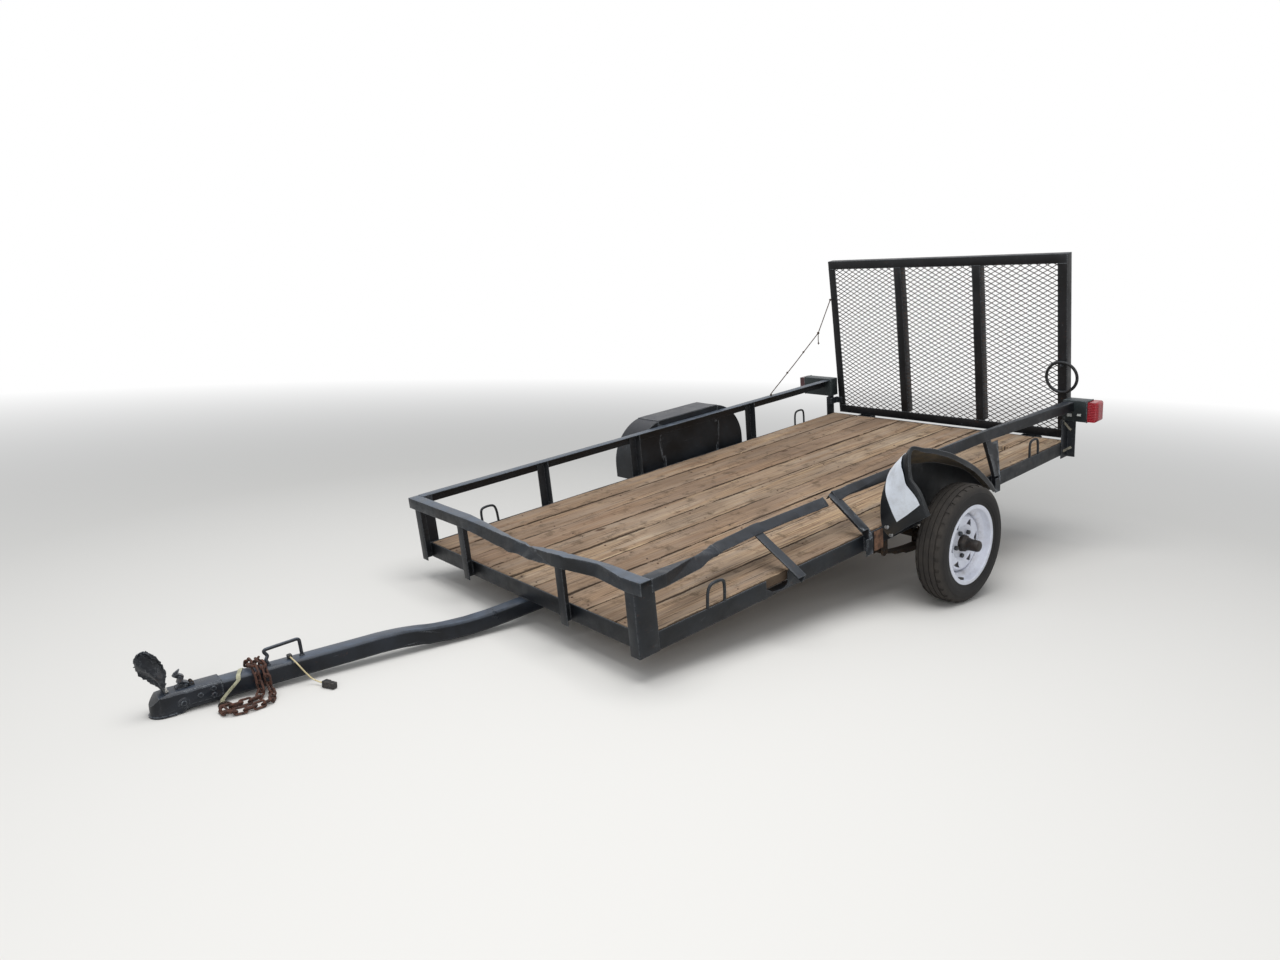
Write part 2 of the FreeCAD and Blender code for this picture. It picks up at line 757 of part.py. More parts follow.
def arch_band(inset, y0, y1):
    """The strip between the fender's outline and an inset one, between two places across."""
    inner = arch(inset).extrude(Vector(0, y1 - y0, 0))
    band = arch(0).extrude(Vector(0, y1 - y0, 0)).cut(inner)
    band.translate(Vector(0, y0, 0))
    return band


def make_fenders():
    # columns: inner x, z and outer x, z from the axle, reach, lip angle, inner plate's lower x, z
    crushed = ((302, 80, 284, 206, 177, 0, 290, 80), (352, 140, 330, 306, 170, 6, 268, 84),
               (366, 211, 352, 355, 161, 14, 240, 84), (352, 295, 369, 404, 149, 28, 205, 84),
               (292, 372, 359, 520, 147, 48, 160, 84), (215, 398, 270, 500, 154, 72, 110, 84),
               (110, 371, 170, 470, 163, 84, 50, 84), (-30, 345, 40, 415, 167, 96, -50, 84),
               (-160, 302, -90, 345, 164, 108, -160, 84), (-300, 245, -200, 268, 159, 122, -290, 84),
               (-420, 162, -280, 202, 155, 145, -410, 84), (-496, 93, -328, 154, 152, 180, -484, 93))
    level["fender_left"] = fender([(axle_x + xi, zi - axle_drop, axle_x + xo, zo - axle_drop, reach, angle,
                                    axle_x + xf, zf - axle_drop)
                                   for xi, zi, xo, zo, reach, angle, xf, zf in crushed], 1, half_width + fender_gap)
    # the right one is whole and hangs on the outside of the rail
    inner = -(half_width + post_size + rail_wall + fender_gap)
    plate = arch(0).extrude(Vector(0, fender_sheet, 0))
    plate.translate(Vector(0, inner - fender_sheet, 0))
    level["fender_right"] = join([arch_band(fender_sheet, -fender_outer, inner), plate,
                                  arch_band(fender_lip, -fender_outer, -fender_outer + fender_sheet)])


def square_tube(path, size, corner):
    """Square tube with cut corners along a path in the XZ plane, as a solid bar."""
    half = size / 2
    cut = half - corner
    section = ((-half, -cut), (-half, cut), (-cut, half), (cut, half), (half, cut), (half, -cut), (cut, -half),
               (-cut, -half))
    rings = []
    for i, middle in enumerate(path):
        before = (path[i] - path[i - 1]).normalize() if i else (path[1] - path[0]).normalize()
        after = (path[i + 1] - path[i]).normalize() if i + 1 < len(path) else before
        along = (before + after).normalize()
        up = Vector(-along.z, 0, along.x) / along.dot(before)
        rings.append([middle + Vector(0, u, 0) + up * v for u, v in section])
    return skin(rings)


def make_tongue():
    path, radii = bent_path([(x, 0, z) for x, z in offset_line(tongue_top, tongue_size / 2)])
    hollow = square_tube(path, tongue_size - 2 * tongue_wall, tongue_corner * 0.7)
    level["tongue"] = square_tube(path, tongue_size, tongue_corner).cut(hollow)


def tongue_slope():
    (xa, za), (xb, zb) = tongue_top[-2:]
    return math.degrees(math.atan2(zb - za, xb - xa))


def on_tongue(shape):
    """Place a shape drawn at the tube's end: x forward from the end, z up from the top face."""
    xb, zb = tongue_top[-1]
    copy = shape.copy()
    copy.rotate(Vector(0, 0, 0), Y, -tongue_slope())
    copy.translate(Vector(xb, 0, zb))
    return copy


def bullet(half, low, high):
    """Block over the drawbar's end whose front is round about the ball, between two heights."""
    def at(x, y):
        return Vector(x, y, low)
    edges = [Part.LineSegment(at(-coupler_overlap, -half), at(cup_reach, -half)).toShape(),
             Part.Arc(at(cup_reach, -half), at(cup_reach + half, 0), at(cup_reach, half)).toShape(),
             Part.LineSegment(at(cup_reach, half), at(-coupler_overlap, half)).toShape(),
             Part.LineSegment(at(-coupler_overlap, half), at(-coupler_overlap, -half)).toShape()]
    return Part.Face(Part.Wire(edges)).extrude(Vector(0, 0, high - low))


def dome(x, z):
    """Top of the ball's pocket in flat steps."""
    rings = []
    for angle in (0, 28, 56, 80):
        r = ball_radius * math.cos(math.radians(angle))
        h = z + ball_radius * math.sin(math.radians(angle))
        rings.append([Vector(x + r * math.cos(2 * math.pi * k / hub_sides), r * math.sin(2 * math.pi * k / hub_sides), h)
                      for k in range(hub_sides)])
    return skin([[Vector(q.x, q.y, z - 1) for q in rings[0]]] + rings)


def make_coupler():
    """Pressed channel over the tube that runs out into a round nose with the ball's socket under it."""
    half = tongue_size / 2 + rail_seat
    outer = half + coupler_wall
    top = rail_seat + coupler_wall
    low = top - cup_height
    skirt = tongue_size * 0.72
    side = prism_xz(((-coupler_overlap, top), (cup_reach - 20, top), (cup_reach + 12, top - 6),
                     (cup_reach + outer, top - 34), (cup_reach + outer, low), (14, low), (-14, -skirt),
                     (-coupler_overlap, -skirt)), -outer - 1, outer + 1)
    shoulder = outer - 8
    crown = skin([[Vector(x, y, z) for y, z in ((-outer, low), (-outer, top - 8), (-shoulder, top), (shoulder, top),
                                                (outer, top - 8), (outer, low))]
                  for x in (-coupler_overlap, cup_reach + outer + 1)])
    body = bullet(outer, low, top).common(side).common(crown)
    rim = bullet(outer + 4, low, low + 6).cut(box(-coupler_overlap - 1, 30, -outer - 5, outer + 5, low - 1, low + 7))
    body = join([body, rim])
    # room for the tube's end, then the ball
    body = body.cut(box(-coupler_overlap - 1, 8, -half, half, low - 1, rail_seat))
    body = body.cut(Part.makeCylinder(ball_radius, ball_mouth, Vector(cup_reach, 0, low), Z))
    body = body.cut(dome(cup_reach, low + ball_mouth))
    level["coupler"] = on_tongue(body)

    # columns: x, z, low y, high y, of the lever's outline from its pivot up
    lever = ((-26, 0.3, -12, 12), (-20, 14, -14, 13), (-2, 24, -10, 14), (-8, 40, -13, 9), (8, 52, -8, 11), (2, 64, -4, 6))
    latch = skin([[Vector(x, a, top + z), Vector(x, b, top + z), Vector(x + 16, b - 2, top + z * 0.86),
                   Vector(x + 16, a + 3, top + z * 0.86)] for x, z, a, b in lever])
    shoe = skin([[Vector(x, -11, z), Vector(x, 11, z), Vector(x, 8, z + h), Vector(x, -8, z + h)]
                 for x, z, h in ((-36, top + 0.3, 8), (-6, top + 0.3, 15), (20, top + 0.3, 9))])
    level["coupler_latch"] = on_tongue(join([latch, shoe]))

    # torn sheet of the coupler's crown, standing up; columns: x, z, low y, high y
    torn = ((0, -2.3, -24, 26), (10, 26, -30, 32), (24, 58, -34, 26), (46, 90, -28, 28), (66, 128, -25, 12),
            (60, 150, -14, -4))
    level["coupler_torn_lip"] = on_tongue(skin([[Vector(cup_reach - 6 + x, a, top + z),
                                                 Vector(cup_reach - 6 + x, b, top + z * 0.94),
                                                 Vector(cup_reach - 3 + x, b, top + z * 0.94),
                                                 Vector(cup_reach - 3 + x, a, top + z)]
                                                for x, z, a, b in torn]))


def top_at(x):
    for (xa, za), (xb, zb) in zip(tongue_top, tongue_top[1:]):
        if xa <= x <= xb:
            return za + (zb - za) * (x - xa) / (xb - xa)
    return tongue_top[-1][1]


def make_handle():
    """Bent round-bar handle: the front leg is kinked where it was hit."""
    # columns: along from the handle's middle, across, above the tube
    shape = ((57, 9, 0), (57, 9, 8), (60, 4, 18), (50, -3, 28), (57, -7, 42), (51, -7, 50), (-52, -4, 61),
             (-60, -2, 54), (-60, -2, 0))
    points = []
    for along, across, above in shape:
        x = handle_x + along * handle_span / 122
        points.append((x, across, top_at(x) + handle_seat + above * handle_height / 62))
    level["tongue_handle"] = bar(points, loop_rod)


def parking():
    """Pitch in radians that brings tyres and coupler to one floor, and the floor's height below the tipped origin."""
    cup_low = rail_seat + coupler_wall - cup_height
    nose = on_tongue(Part.Vertex(Vector(cup_reach + tongue_size / 2 + rail_seat + coupler_wall + 4, 0, cup_low))).Point
    dx = nose.x - axle_x
    dz = nose.z + axle_drop
    pitch = math.atan2(dz, dx) + math.asin(tyre_radius / math.hypot(dx, dz))
    floor = -axle_x * math.sin(pitch) - axle_drop * math.cos(pitch) - tyre_radius
    return pitch, floor


def floor_at(x):
    """Height of the ground below the level trailer."""
    pitch, floor = parking()
    return (floor + x * math.sin(pitch)) / math.cos(pitch)


def joints_along(points, step):
    """Points a fixed step apart along straight runs, where each link hooks into the next."""
    points = [Vector(*p) for p in points]
    placed = [points[0]]
    run = 0
    while run < len(points) - 1:
        a, b = points[run], points[run + 1]
        if (b - placed[-1]).Length < step:
            run += 1
            continue
        along = (b - a).normalize()
        back = placed[-1] - a
        middle = back.dot(along)
        off = (back - along * middle).Length
        placed.append(a + along * (middle + math.sqrt(step ** 2 - off ** 2)))
    return placed


def link(centre, along, flat):
    """One chain link as an eight-cornered ring cut from plate, lying along one direction and flat on another."""
    across = flat.cross(along).normalize()
    faces = []
    for length, width, corner in ((link_length, link_width, 9.0), (link_length - 2 * link_bar,
                                                                  link_width - 2 * link_bar, 4.0)):
        l, w = length / 2, width / 2
        corners = [centre + along * u + across * v - flat * (link_bar / 2)
                   for u, v in ((l, -w + corner), (l, w - corner), (l - corner, w), (-l + corner, w), (-l, w - corner),
                                (-l, -w + corner), (-l + corner, -w), (l - corner, -w))]
        faces.append(outline(corners).extrude(flat * link_bar))
    return faces[0].cut(faces[1])


def make_chain():
    """Safety chain: up the drawbar's far side, over the top, down to the ground, a loose loop and back."""
    side = tongue_size / 2
    # columns: across, above the tube's top face
    over = ((-side - 17, -58), (-side - 20, -5), (-side + 2, chain_off + 8), (0, chain_off + 3),
            (side - 2, chain_off + 8), (side + 20, -5), (side + 17, -50))
    # columns: forward from the first strand, across, above the ground
    heap = ((2, 68, 20), (0, 92, 13.5), (26, 138, 13.5), (80, 150, 13.5), (128, 156, 13.5), (164, 134, 13.5),
            (166, 104, 13.5), (128, 100, 13.5), (88, 98, 13.5), (52, 94, 13.5), (30, 70, 20))
    route = [(chain_x[0], y, top_at(chain_x[0]) + z) for y, z in over]
    for x, y, z in heap:
        route.append((chain_x[0] + x, y, floor_at(chain_x[0] + x) + z))
    route += [(chain_x[1], y, top_at(chain_x[1]) + z) for y, z in reversed(over)]
    joints = joints_along(route, link_pitch)
    flat = Vector(0, -1, 0)
    links = []
    for i, (a, b) in enumerate(zip(joints, joints[1:])):
        along = (b - a).normalize()
        flat = (flat - along * flat.dot(along)).normalize()
        rolled = FreeCAD.Rotation(along, 45 + 90 * (i % 2)).multVec(flat)
        links.append(link((a + b) / 2, along, rolled))
    chain = join(links)
    print("chain", len(links), "links", len(chain.Solids), "solids")
    level["safety_chain"] = chain


def make_strap():
    """Pale strap laid over the drawbar from its far edge to a ring below its near edge."""
    side = tongue_size / 2
    # columns: along from the strap's start, across, height above or below the tube's top face
    route = ((0, -side + tongue_corner, rail_seat), (22, side - tongue_corner, rail_seat),
             (26, side + rail_seat, -tongue_corner), (84, side + rail_seat, -tongue_size + 6),
             (strap_fall, side + rail_seat + 4, -tongue_size - 4))
    rings = []
    for dx, y, dz in route:
        x = strap_x + dx
        z = top_at(x) + dz
        out = Vector(0, 1, 0) if dz < 0 else Vector(0, 0, 1)
        if dz == -tongue_corner:
            out = Vector(0, 0.9, 0.5)
        edge = Vector(strap_width / 2, 0, strap_width / 2 * math.tan(math.radians(tongue_slope())))
        middle = Vector(x, y, z)
        rings.append([middle - edge, middle + edge, middle + edge + out * strap_thickness,
                      middle - edge + out * strap_thickness])
    level["drawbar_strap"] = skin(rings)
    x = strap_x + strap_fall
    y = side + rail_seat + 4 + strap_thickness / 2 + strap_ring
    ring = [(x + strap_ring * math.cos(math.radians(a)), y + strap_ring * math.sin(math.radians(a)),
             floor_at(x + strap_ring * math.cos(math.radians(a))) + 3.3) for a in range(0, 360, 30)]
    level["strap_ring"] = bar(ring, 3.0, closed=True)


def make_lead():
    """Wiring lead from its clip on the drawbar over the near edge to a plug on the ground."""
    size = plug_size
    # columns: from the handle's middle, across, up; the first and last end at clip and plug
    x = handle_x - 18
    clip_top = top_at(x)
    level["lead_clip"] = box(x - 8, x + 8, -9, 8, clip_top + rail_seat + 1.2, clip_top + 16)
    x1 = x - 60
    plug = box(0, plug_length, -size / 2, size / 2, 0, size).cut(box(plug_length - 12, plug_length + 1, -size / 2 + 4,
                                                                     size / 2 - 4, 4, size - 4))
    plug = turned(plug, (0, 0, 0), Z, lead_yaw)
    pitch = parking()[0]
    plug = turned(plug, (0, 0, 0), Y, -math.degrees(pitch))
    y1 = 108.0
    floor = floor_at(x1)
    plug.translate(Vector(x1, y1, floor + 0.6))
    level["lead_plug"] = plug
    a = math.radians(lead_yaw)
    away = Vector(math.cos(a) * math.cos(pitch), math.sin(a), math.cos(a) * math.sin(pitch))
    end = Vector(x1, y1, floor + 0.6) + Vector(-math.sin(pitch), 0, math.cos(pitch)) * size / 2
    bend = end - away * 42
    points = [(x, 8, clip_top + 8), (x, 52, clip_top + 8), (x - 24, 60, clip_top - 44), (bend.x, bend.y, bend.z),
              (end.x, end.y, end.z)]
    level["wiring_lead"] = cord_tube("wiring_lead", points, lead_radius)
    print("lead points", [(round(u, 2), round(v, 2), round(w, 2)) for u, v, w in points])


def make_lamps():
    """Lamp boxes on the rear posts; the rails butt against them. The right one sticks out further."""
    for name, side, outer in (("left", 1, lamp_left_end), ("right", -1, lamp_right_end)):
        inner = side * lamp_inner
        end = side * outer
        seam = side * (outer - lens_length)
        high = lamp_low + lamp_height
        level["lamp_box_" + name] = box(rail_start - 0.3 - lamp_depth, rail_start - 0.3, min(inner, seam),
                                        max(inner, seam), lamp_low, high)
        lens = box(rail_start - lamp_depth - 12, rail_start - 4, min(seam, end), max(seam, end),
                   lamp_low + 3, high - 5)
        level["lamp_lens_" + name] = lens.makeFillet(lens_round, [e for e in lens.Edges
                                                                  if abs(e.CenterOfMass.y - end) < 1e-6])


def make_gate():
    x0 = pivot_x + gate_set
    z0 = frame_height + 1
    h = gate_height
    hw = gate_width / 2
    g = gate_leg
    t = gate_wall
    frame = [box(x0 - t, x0, -hw, hw, z0, z0 + g), box(x0 - g, x0 - t, -hw, hw, z0, z0 + t),
             box(x0 - t, x0, -hw, hw, z0 + h - g, z0 + h), box(x0 - g, x0 - t, -hw, hw, z0 + h - t, z0 + h)]
    for side in (-1, 1):
        ya, yb = side * hw, side * (hw - g)
        frame.append(box(x0 - t, x0, min(ya, yb), max(ya, yb), z0 + g, z0 + h - g))
        yb = side * (hw - t)
        frame.append(box(x0 - g, x0 - t, min(ya, yb), max(ya, yb), z0 + t, z0 + h - t))
    barrels = []
    for y in hinge_places:
        barrel = round_plate(pivot_x, y, pivot_z, barrel_radius, barrel_length, 16)
        tab = box(pivot_x - 4, pivot_x + 6, y, y + barrel_length, pivot_z, z0)
        bore = rod((pivot_x, y - 1, pivot_z), (pivot_x, y + barrel_length + 1, pivot_z),
                   pin_radius + pin_clearance)
        barrels.append(join([barrel, tab]).cut(bore))
    bars = []
    for y in gate_bar_y:
        bars.append(join([box(x0 - t, x0, y - g / 2, y + g / 2, z0 + g, z0 + h - g),
                          box(x0 - g, x0 - t, y + g / 2 - t, y + g / 2, z0 + g, z0 + h - g)]))
    mesh = make_mesh(x0 - t - 0.3, hw - t - 1, z0 + t + 1, z0 + h - t - 1)
    bars = Part.makeCompound(bars)
    mesh = mesh.cut(grown_bars(x0))
    ring = []
    for k in range(small_sides * 3):
        angle = math.radians(360 * k / (small_sides * 3))
        ring.append((x0 + ring_rod + 0.3, hw - g / 2 + ring_radius * math.sin(angle),
                     z0 + 348 + ring_radius * math.cos(angle)))
    ring = bar(ring, ring_rod, closed=True)
    peg_z = z0 + 348 + ring_radius * math.cos(math.pi / 24) - ring_rod - 8.8
    peg = bar(((x0, hw - g / 2, peg_z), (x0 + 30, hw - g / 2, peg_z)), 8)
    pieces = {"gate_frame": join(frame + barrels + [peg]), "gate_bars": bars, "gate_mesh": mesh,
              "gate_ring": ring}
    for name, shape in pieces.items():
        level[name] = turned(shape, (pivot_x, 0, pivot_z), Y, gate_lean)

    knot = (140, -(half_width - 1.5), 627)
    low = (588, -(half_width + post_size - 14), rail_height + 12)
    high = (36, -(hw - 6), 828)
    rope = [bar((low, knot), 3), bar((knot, high), 3), bar((knot, (136, knot[1] - 4, 548)), 2.5),
            bar(((588, low[1], rail_height + 0.3), (588, low[1], low[2] + 2)), 3),
            bar(((knot[0] - 5, knot[1], knot[2] + 9), (knot[0] + 5, knot[1], knot[2] - 9)), 9)]
    level["gate_rope"] = join(rope)

    lugs = []
    for y in hinge_places:
        for start in (y - lug_clearance - lug_thickness, y + barrel_length + lug_clearance):
            arm = box(pivot_x, 0, start, start + lug_thickness, pivot_z - 14, pivot_z + 12)
            eye = round_plate(pivot_x, start, pivot_z, 14, lug_thickness, 16)
            lugs.append(join([arm, eye]))
        pin = rod((pivot_x, y - lug_clearance - lug_thickness - 6, pivot_z),
                  (pivot_x, y + barrel_length + lug_clearance + lug_thickness + 6, pivot_z), pin_radius)
        lugs.append(pin)
    level["hinge_lugs"] = join(lugs)


def grown_bars(x0):
    """Room for the rear legs of the upright bars where they pass through the mesh."""
    room = []
    for y in gate_bar_y:
        room.append(box(x0 - gate_leg, x0 - gate_wall, y + gate_leg / 2 - gate_wall - 0.3,
                        y + gate_leg / 2 + 0.3, frame_height, frame_height + gate_height))
    return Part.makeCompound(room)


def make_mesh(front, half, low, high):
    """Expanded sheet: a plate with rows of diamond windows, every second row moved half a step."""
    outline = Part.makePolygon([Vector(front, y, z) for y, z in
                                ((-half, low), (half, low), (half, high), (-half, high), (-half, low))])
    holes = []
    edge = gate_leg * 0.8
    rows = int((high - low - 2 * edge) / (mesh_short / 2))
    for row in range(1, rows):
        z = low + edge + row * mesh_short / 2
        start = mesh_long / 2 if row % 2 else 0.0
        steps = int((half - edge) / mesh_long) + 1
        for step in range(-steps, steps + 1):
            y = start + step * mesh_long
            a = mesh_long / 2 - mesh_strand
            b = mesh_short / 2 - mesh_strand
            if abs(y) + a > half - edge * 0.6:
                continue
            if min(abs(y - bar) for bar in gate_bar_y) < 1:
                continue
            corners = [Vector(front, y - a, z), Vector(front, y, z - b), Vector(front, y + a, z),
                       Vector(front, y, z + b)]
            holes.append(Part.makePolygon(corners + [corners[0]]))
    face = Part.makeFace([outline] + holes, "Part::FaceMakerBullseye")
    return face.extrude(Vector(-mesh_thickness, 0, 0))


def park():
    """Tip the level trailer nose down until tyres and coupler share one floor, then centre it."""
    pitch, floor = parking()
    placed = {}
    for name, shape in level.items():
        placed[name] = turned(shape, (0, 0, 0), Y, math.degrees(pitch))
    bounds = FreeCAD.BoundBox()
    for shape in placed.values():
        bounds.add(shape.optimalBoundingBox(False, False))
    shift = Vector(-(bounds.XMin + bounds.XMax) / 2, -(bounds.YMin + bounds.YMax) / 2, -bounds.ZMin)

    def where(point):
        p = FreeCAD.Rotation(Y, math.degrees(pitch)).multVec(Vector(*point))
        return p + shift
    for name, shape in placed.items():
        shape.translate(shift)
    return placed, where, math.degrees(pitch), bounds


def build():
    make_frame()
    make_deck()
    make_posts()
    make_rails()
    make_loops()
    make_axle()
    make_springs()
    make_wheel()
    make_fenders()
    make_tongue()
    make_coupler()
    make_handle()
    make_chain()
    make_strap()
    make_lead()
    make_lamps()
    make_gate()
    return park()


os.makedirs("parts", exist_ok=True)
placed, where, pitch, bounds = build()
for name, shape in placed.items():
    shape.exportStep("parts/" + name + ".step")
    print(name, shape.isValid(), len(shape.Solids), round(shape.Volume / 1000, 1), round(shape.BoundBox.ZMin, 1))
print("pitch", round(pitch, 4), "size", bounds)
print("axle", where((axle_x, 0, -axle_drop)), "pivot", where((pivot_x, 0, pivot_z)))
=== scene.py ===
import json
import math
import random

import bmesh
import bpy
from mathutils import Euler, Matrix, Vector, noise


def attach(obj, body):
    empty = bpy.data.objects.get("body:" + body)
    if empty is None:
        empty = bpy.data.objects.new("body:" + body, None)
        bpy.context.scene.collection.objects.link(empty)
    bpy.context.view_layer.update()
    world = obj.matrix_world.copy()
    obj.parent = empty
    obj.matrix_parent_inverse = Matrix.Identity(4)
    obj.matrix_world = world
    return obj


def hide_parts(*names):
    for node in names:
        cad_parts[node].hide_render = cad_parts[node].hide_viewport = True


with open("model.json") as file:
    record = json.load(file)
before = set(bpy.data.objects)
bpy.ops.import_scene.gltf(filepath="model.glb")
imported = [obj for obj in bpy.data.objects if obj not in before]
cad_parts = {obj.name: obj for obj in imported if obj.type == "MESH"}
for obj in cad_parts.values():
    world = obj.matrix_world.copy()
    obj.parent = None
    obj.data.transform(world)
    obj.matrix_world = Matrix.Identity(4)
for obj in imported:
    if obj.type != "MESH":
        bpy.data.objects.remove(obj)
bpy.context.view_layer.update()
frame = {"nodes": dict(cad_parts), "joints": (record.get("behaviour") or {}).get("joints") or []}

# The trailer is drawn level, in millimetres, X forward from the rear edge of its frame, and stands nose down
# on its coupler. The axle and the gate's pin, whose places the frame gives, say how far it is tipped.
axle = Vector((1350.0, 0.0, -73.0))
gate_pin = Vector((-62.0, 0.0, 52.0))
anchors = {joint["name"]: Vector(joint["pos_m"]) for joint in frame["joints"]}
axle_place = (anchors["left_wheel_spin"] + anchors["right_wheel_spin"]) / 2
run_level = axle - gate_pin
run_parked = axle_place - anchors["gate_hinge"]
pitch = math.atan2(run_level.z, run_level.x) - math.atan2(run_parked.z, run_parked.x)
tip = Matrix.Rotation(pitch, 4, "Y")
tipped = Matrix.Translation(axle_place - tip @ (axle / 1000)) @ tip
parked = tipped @ Matrix.Scale(0.001, 4)

# The camera stands ahead of the trailer's front left corner at eye height, with the lens that the
# photograph's perspective gives on a 36 mm wide sensor.
camera = bpy.data.objects.new("camera", bpy.data.cameras.new("camera"))
camera.data.lens = 25.22
camera.matrix_world = tipped @ Matrix.LocRotScale(Vector((4.7876, 2.9762, 1.4319)),
                                                  Euler([math.radians(a) for a in (73.884, 5.237, 139.516)]), None)
bpy.context.scene.collection.objects.link(camera)
bpy.context.scene.camera = camera


# Wiring lead: one cream PVC wire, 5 mm over its sheath, that leaves a black clip under the drawbar's handle,
# falls over the near edge and ends in a moulded black connector lying on the ground.
def linear(colour):
    channels = [int(colour[i:i + 2], 16) / 255 for i in (1, 3, 5)]
    return [c / 12.92 if c <= 0.04045 else ((c + 0.055) / 1.055) ** 2.4 for c in channels] + [1.0]


def add(material, kind, inputs, out=0, stops=(), **settings):
    """Adds a shader node and gives one of its outputs. An input is a number, a hex colour, a list or another
    node's output, and stops are a ramp's places with their colours or greys."""
    made = material.node_tree.nodes.new("ShaderNode" + kind)
    for name, value in settings.items():
        setattr(made, name, value)
    for count, (place, shade) in enumerate(stops):
        stop = made.color_ramp.elements[count] if count < 2 else made.color_ramp.elements.new(place)
        stop.position = place
        stop.color = linear(shade) if isinstance(shade, str) else (shade, shade, shade, 1.0)
    for socket, value in inputs.items():
        if isinstance(value, bpy.types.NodeSocket):
            material.node_tree.links.new(value, made.inputs[socket])
        else:
            made.inputs[socket].default_value = linear(value) if isinstance(value, str) else value
    return made.outputs[out] if made.outputs else None


def new_finish(name):
    """Empty material, and the level trailer's coordinates in metres for its patterns."""
    finish = bpy.data.materials.new(name)
    finish.use_nodes = True
    finish.node_tree.nodes.clear()
    here = add(finish, "TexCoord", {}, "Object")
    return finish, add(finish, "Mapping", {"Vector": here, "Location": tipped.translation,
                                           "Rotation": (0.0, pitch, 0.0)}, vector_type="TEXTURE")


# Soft PVC, extruded: a dull waxy surface that holds fine brown dust in blotches of about 12 mm.
def soft_pvc(name, colour, dust):
    pvc, place = new_finish(name)
    dirt = add(pvc, "TexNoise", {"Vector": place, "Scale": 80.0, "Detail": 6.0, "Roughness": 0.7})
    share = add(pvc, "ValToRGB", {0: dirt}, stops=((0.45, 0.0), (0.75, 0.8)))
    shade = add(pvc, "Mix", {0: share, 6: colour, 7: dust}, 2, data_type="RGBA")
    bump = add(pvc, "Bump", {"Height": dirt, "Distance": 0.0004, "Strength": 0.6})
    shader = add(pvc, "BsdfPrincipled", {"Base Color": shade, "Roughness": 0.55, "IOR": 1.53, "Normal": bump})
    add(pvc, "OutputMaterial", {"Surface": shader})
    return pvc


def floor_below(x):
    """Height of the ground under the level trailer."""
    return (x * math.sin(pitch) - 525.408) / math.cos(pitch)


def round_bar(name, runs, radius, finish, body, slot, *nodes, closed=False, smooth=8, sides=4):
    """Round bar or wire along runs of points, which may have a fourth number that swells or thins it there."""
    curve = bpy.data.curves.new(name, "CURVE")
    curve.dimensions = "3D"
    curve.bevel_depth = radius / 1000
    curve.bevel_resolution = sides
    curve.resolution_u = curve.render_resolution_u = smooth
    curve.use_fill_caps = True
    for run in runs:
        spline = curve.splines.new("NURBS")
        spline.points.add(len(run) - 1)
        for point, place in zip(spline.points, run):
            point.co = (*(parked @ Vector(place[:3])), 1.0)
            point.radius = place[3] if len(place) > 3 else 1.0
        spline.order_u = 3
        spline.use_endpoint_u = not closed
        spline.use_cyclic_u = closed
    curve.materials.append(finish)
    piece = bpy.data.objects.new(name, curve)
    bpy.context.scene.collection.objects.link(piece)
    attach(piece, body)
    if nodes:
        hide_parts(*nodes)
    return piece


def fit(name, shape, finish, body, slot, *nodes, corner=32.0):
    """Parks a shape drawn in level millimetres, smooths it up to its corners, and puts it in place of CAD nodes."""
    shape.transform(parked)
    mesh = bpy.data.meshes.new(name)
    shape.to_mesh(mesh)
    shape.free()
    mesh.materials.append(finish)
    mesh.shade_smooth()
    mesh.set_sharp_from_angle(angle=math.radians(corner))
    piece = bpy.data.objects.new(name, mesh)
    bpy.context.scene.collection.objects.link(piece)
    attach(piece, body)
    if nodes:
        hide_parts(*nodes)
    return piece


def block(shape, low, high, rounding=0.0, segments=2, place=None):
    """Adds a box between two corners, with rounded edges, and puts it in place."""
    middle = (Vector(low) + Vector(high)) / 2
    size = Vector(high) - Vector(low)
    made = bmesh.ops.create_cube(shape, size=1.0, matrix=Matrix.LocRotScale(middle, None, size))["verts"]
    if rounding:
        edges = list({edge for vert in made for edge in vert.link_edges})
        made = bmesh.ops.bevel(shape, geom=edges, offset=rounding, affect="EDGES", segments=segments, profile=0.5,
                               material=-1, clamp_overlap=True)["verts"]
    if place:
        bmesh.ops.transform(shape, matrix=place, verts=made)
    return made


black_pvc = soft_pvc("black_pvc", "#141517", "#4a4238")
cream_pvc = soft_pvc("cream_pvc", "#cdbf97", "#8a7a58")
lead_points = ((3990, 8, 115.23), (3990, 52, 115.23), (3966, 60, 63.23), (3945.94, 69.94, 28.3), (3928.36, 108, 25.86))
lead = round_bar("cream_lead", [lead_points], 2.5, cream_pvc, "chassis", "black_cable", "wiring_lead", smooth=12)

connector_place = (Matrix.Translation((3930, 108, floor_below(3930) + 0.6)) @ Matrix.Rotation(-pitch, 4, "Y")
                   @ Matrix.Rotation(math.radians(115), 4, "Z"))
shape = bmesh.new()
block(shape, (0, -12, 0), (24, 12, 24), 3.0, 3, connector_place)
block(shape, (22, -10.5, 1.5), (50, 10.5, 22.5), 2.0, 2, connector_place)
for x in (4, 8, 12, 16):
    block(shape, (x, -12.8, 3), (x + 2, 12.8, 21), 0.6, 1, connector_place)
block(shape, (26, -4, 21), (42, 4, 24), 1.0, 1, connector_place)
for y, z in ((-5, 7), (5, 7), (-5, 16), (5, 16)):
    block(shape, (49, y - 2.4, z - 2.4), (50.4, y + 2.4, z + 2.4), 0.6, 1, connector_place)
connector = fit("connector", shape, black_pvc, "chassis", "black_cable", "lead_plug")

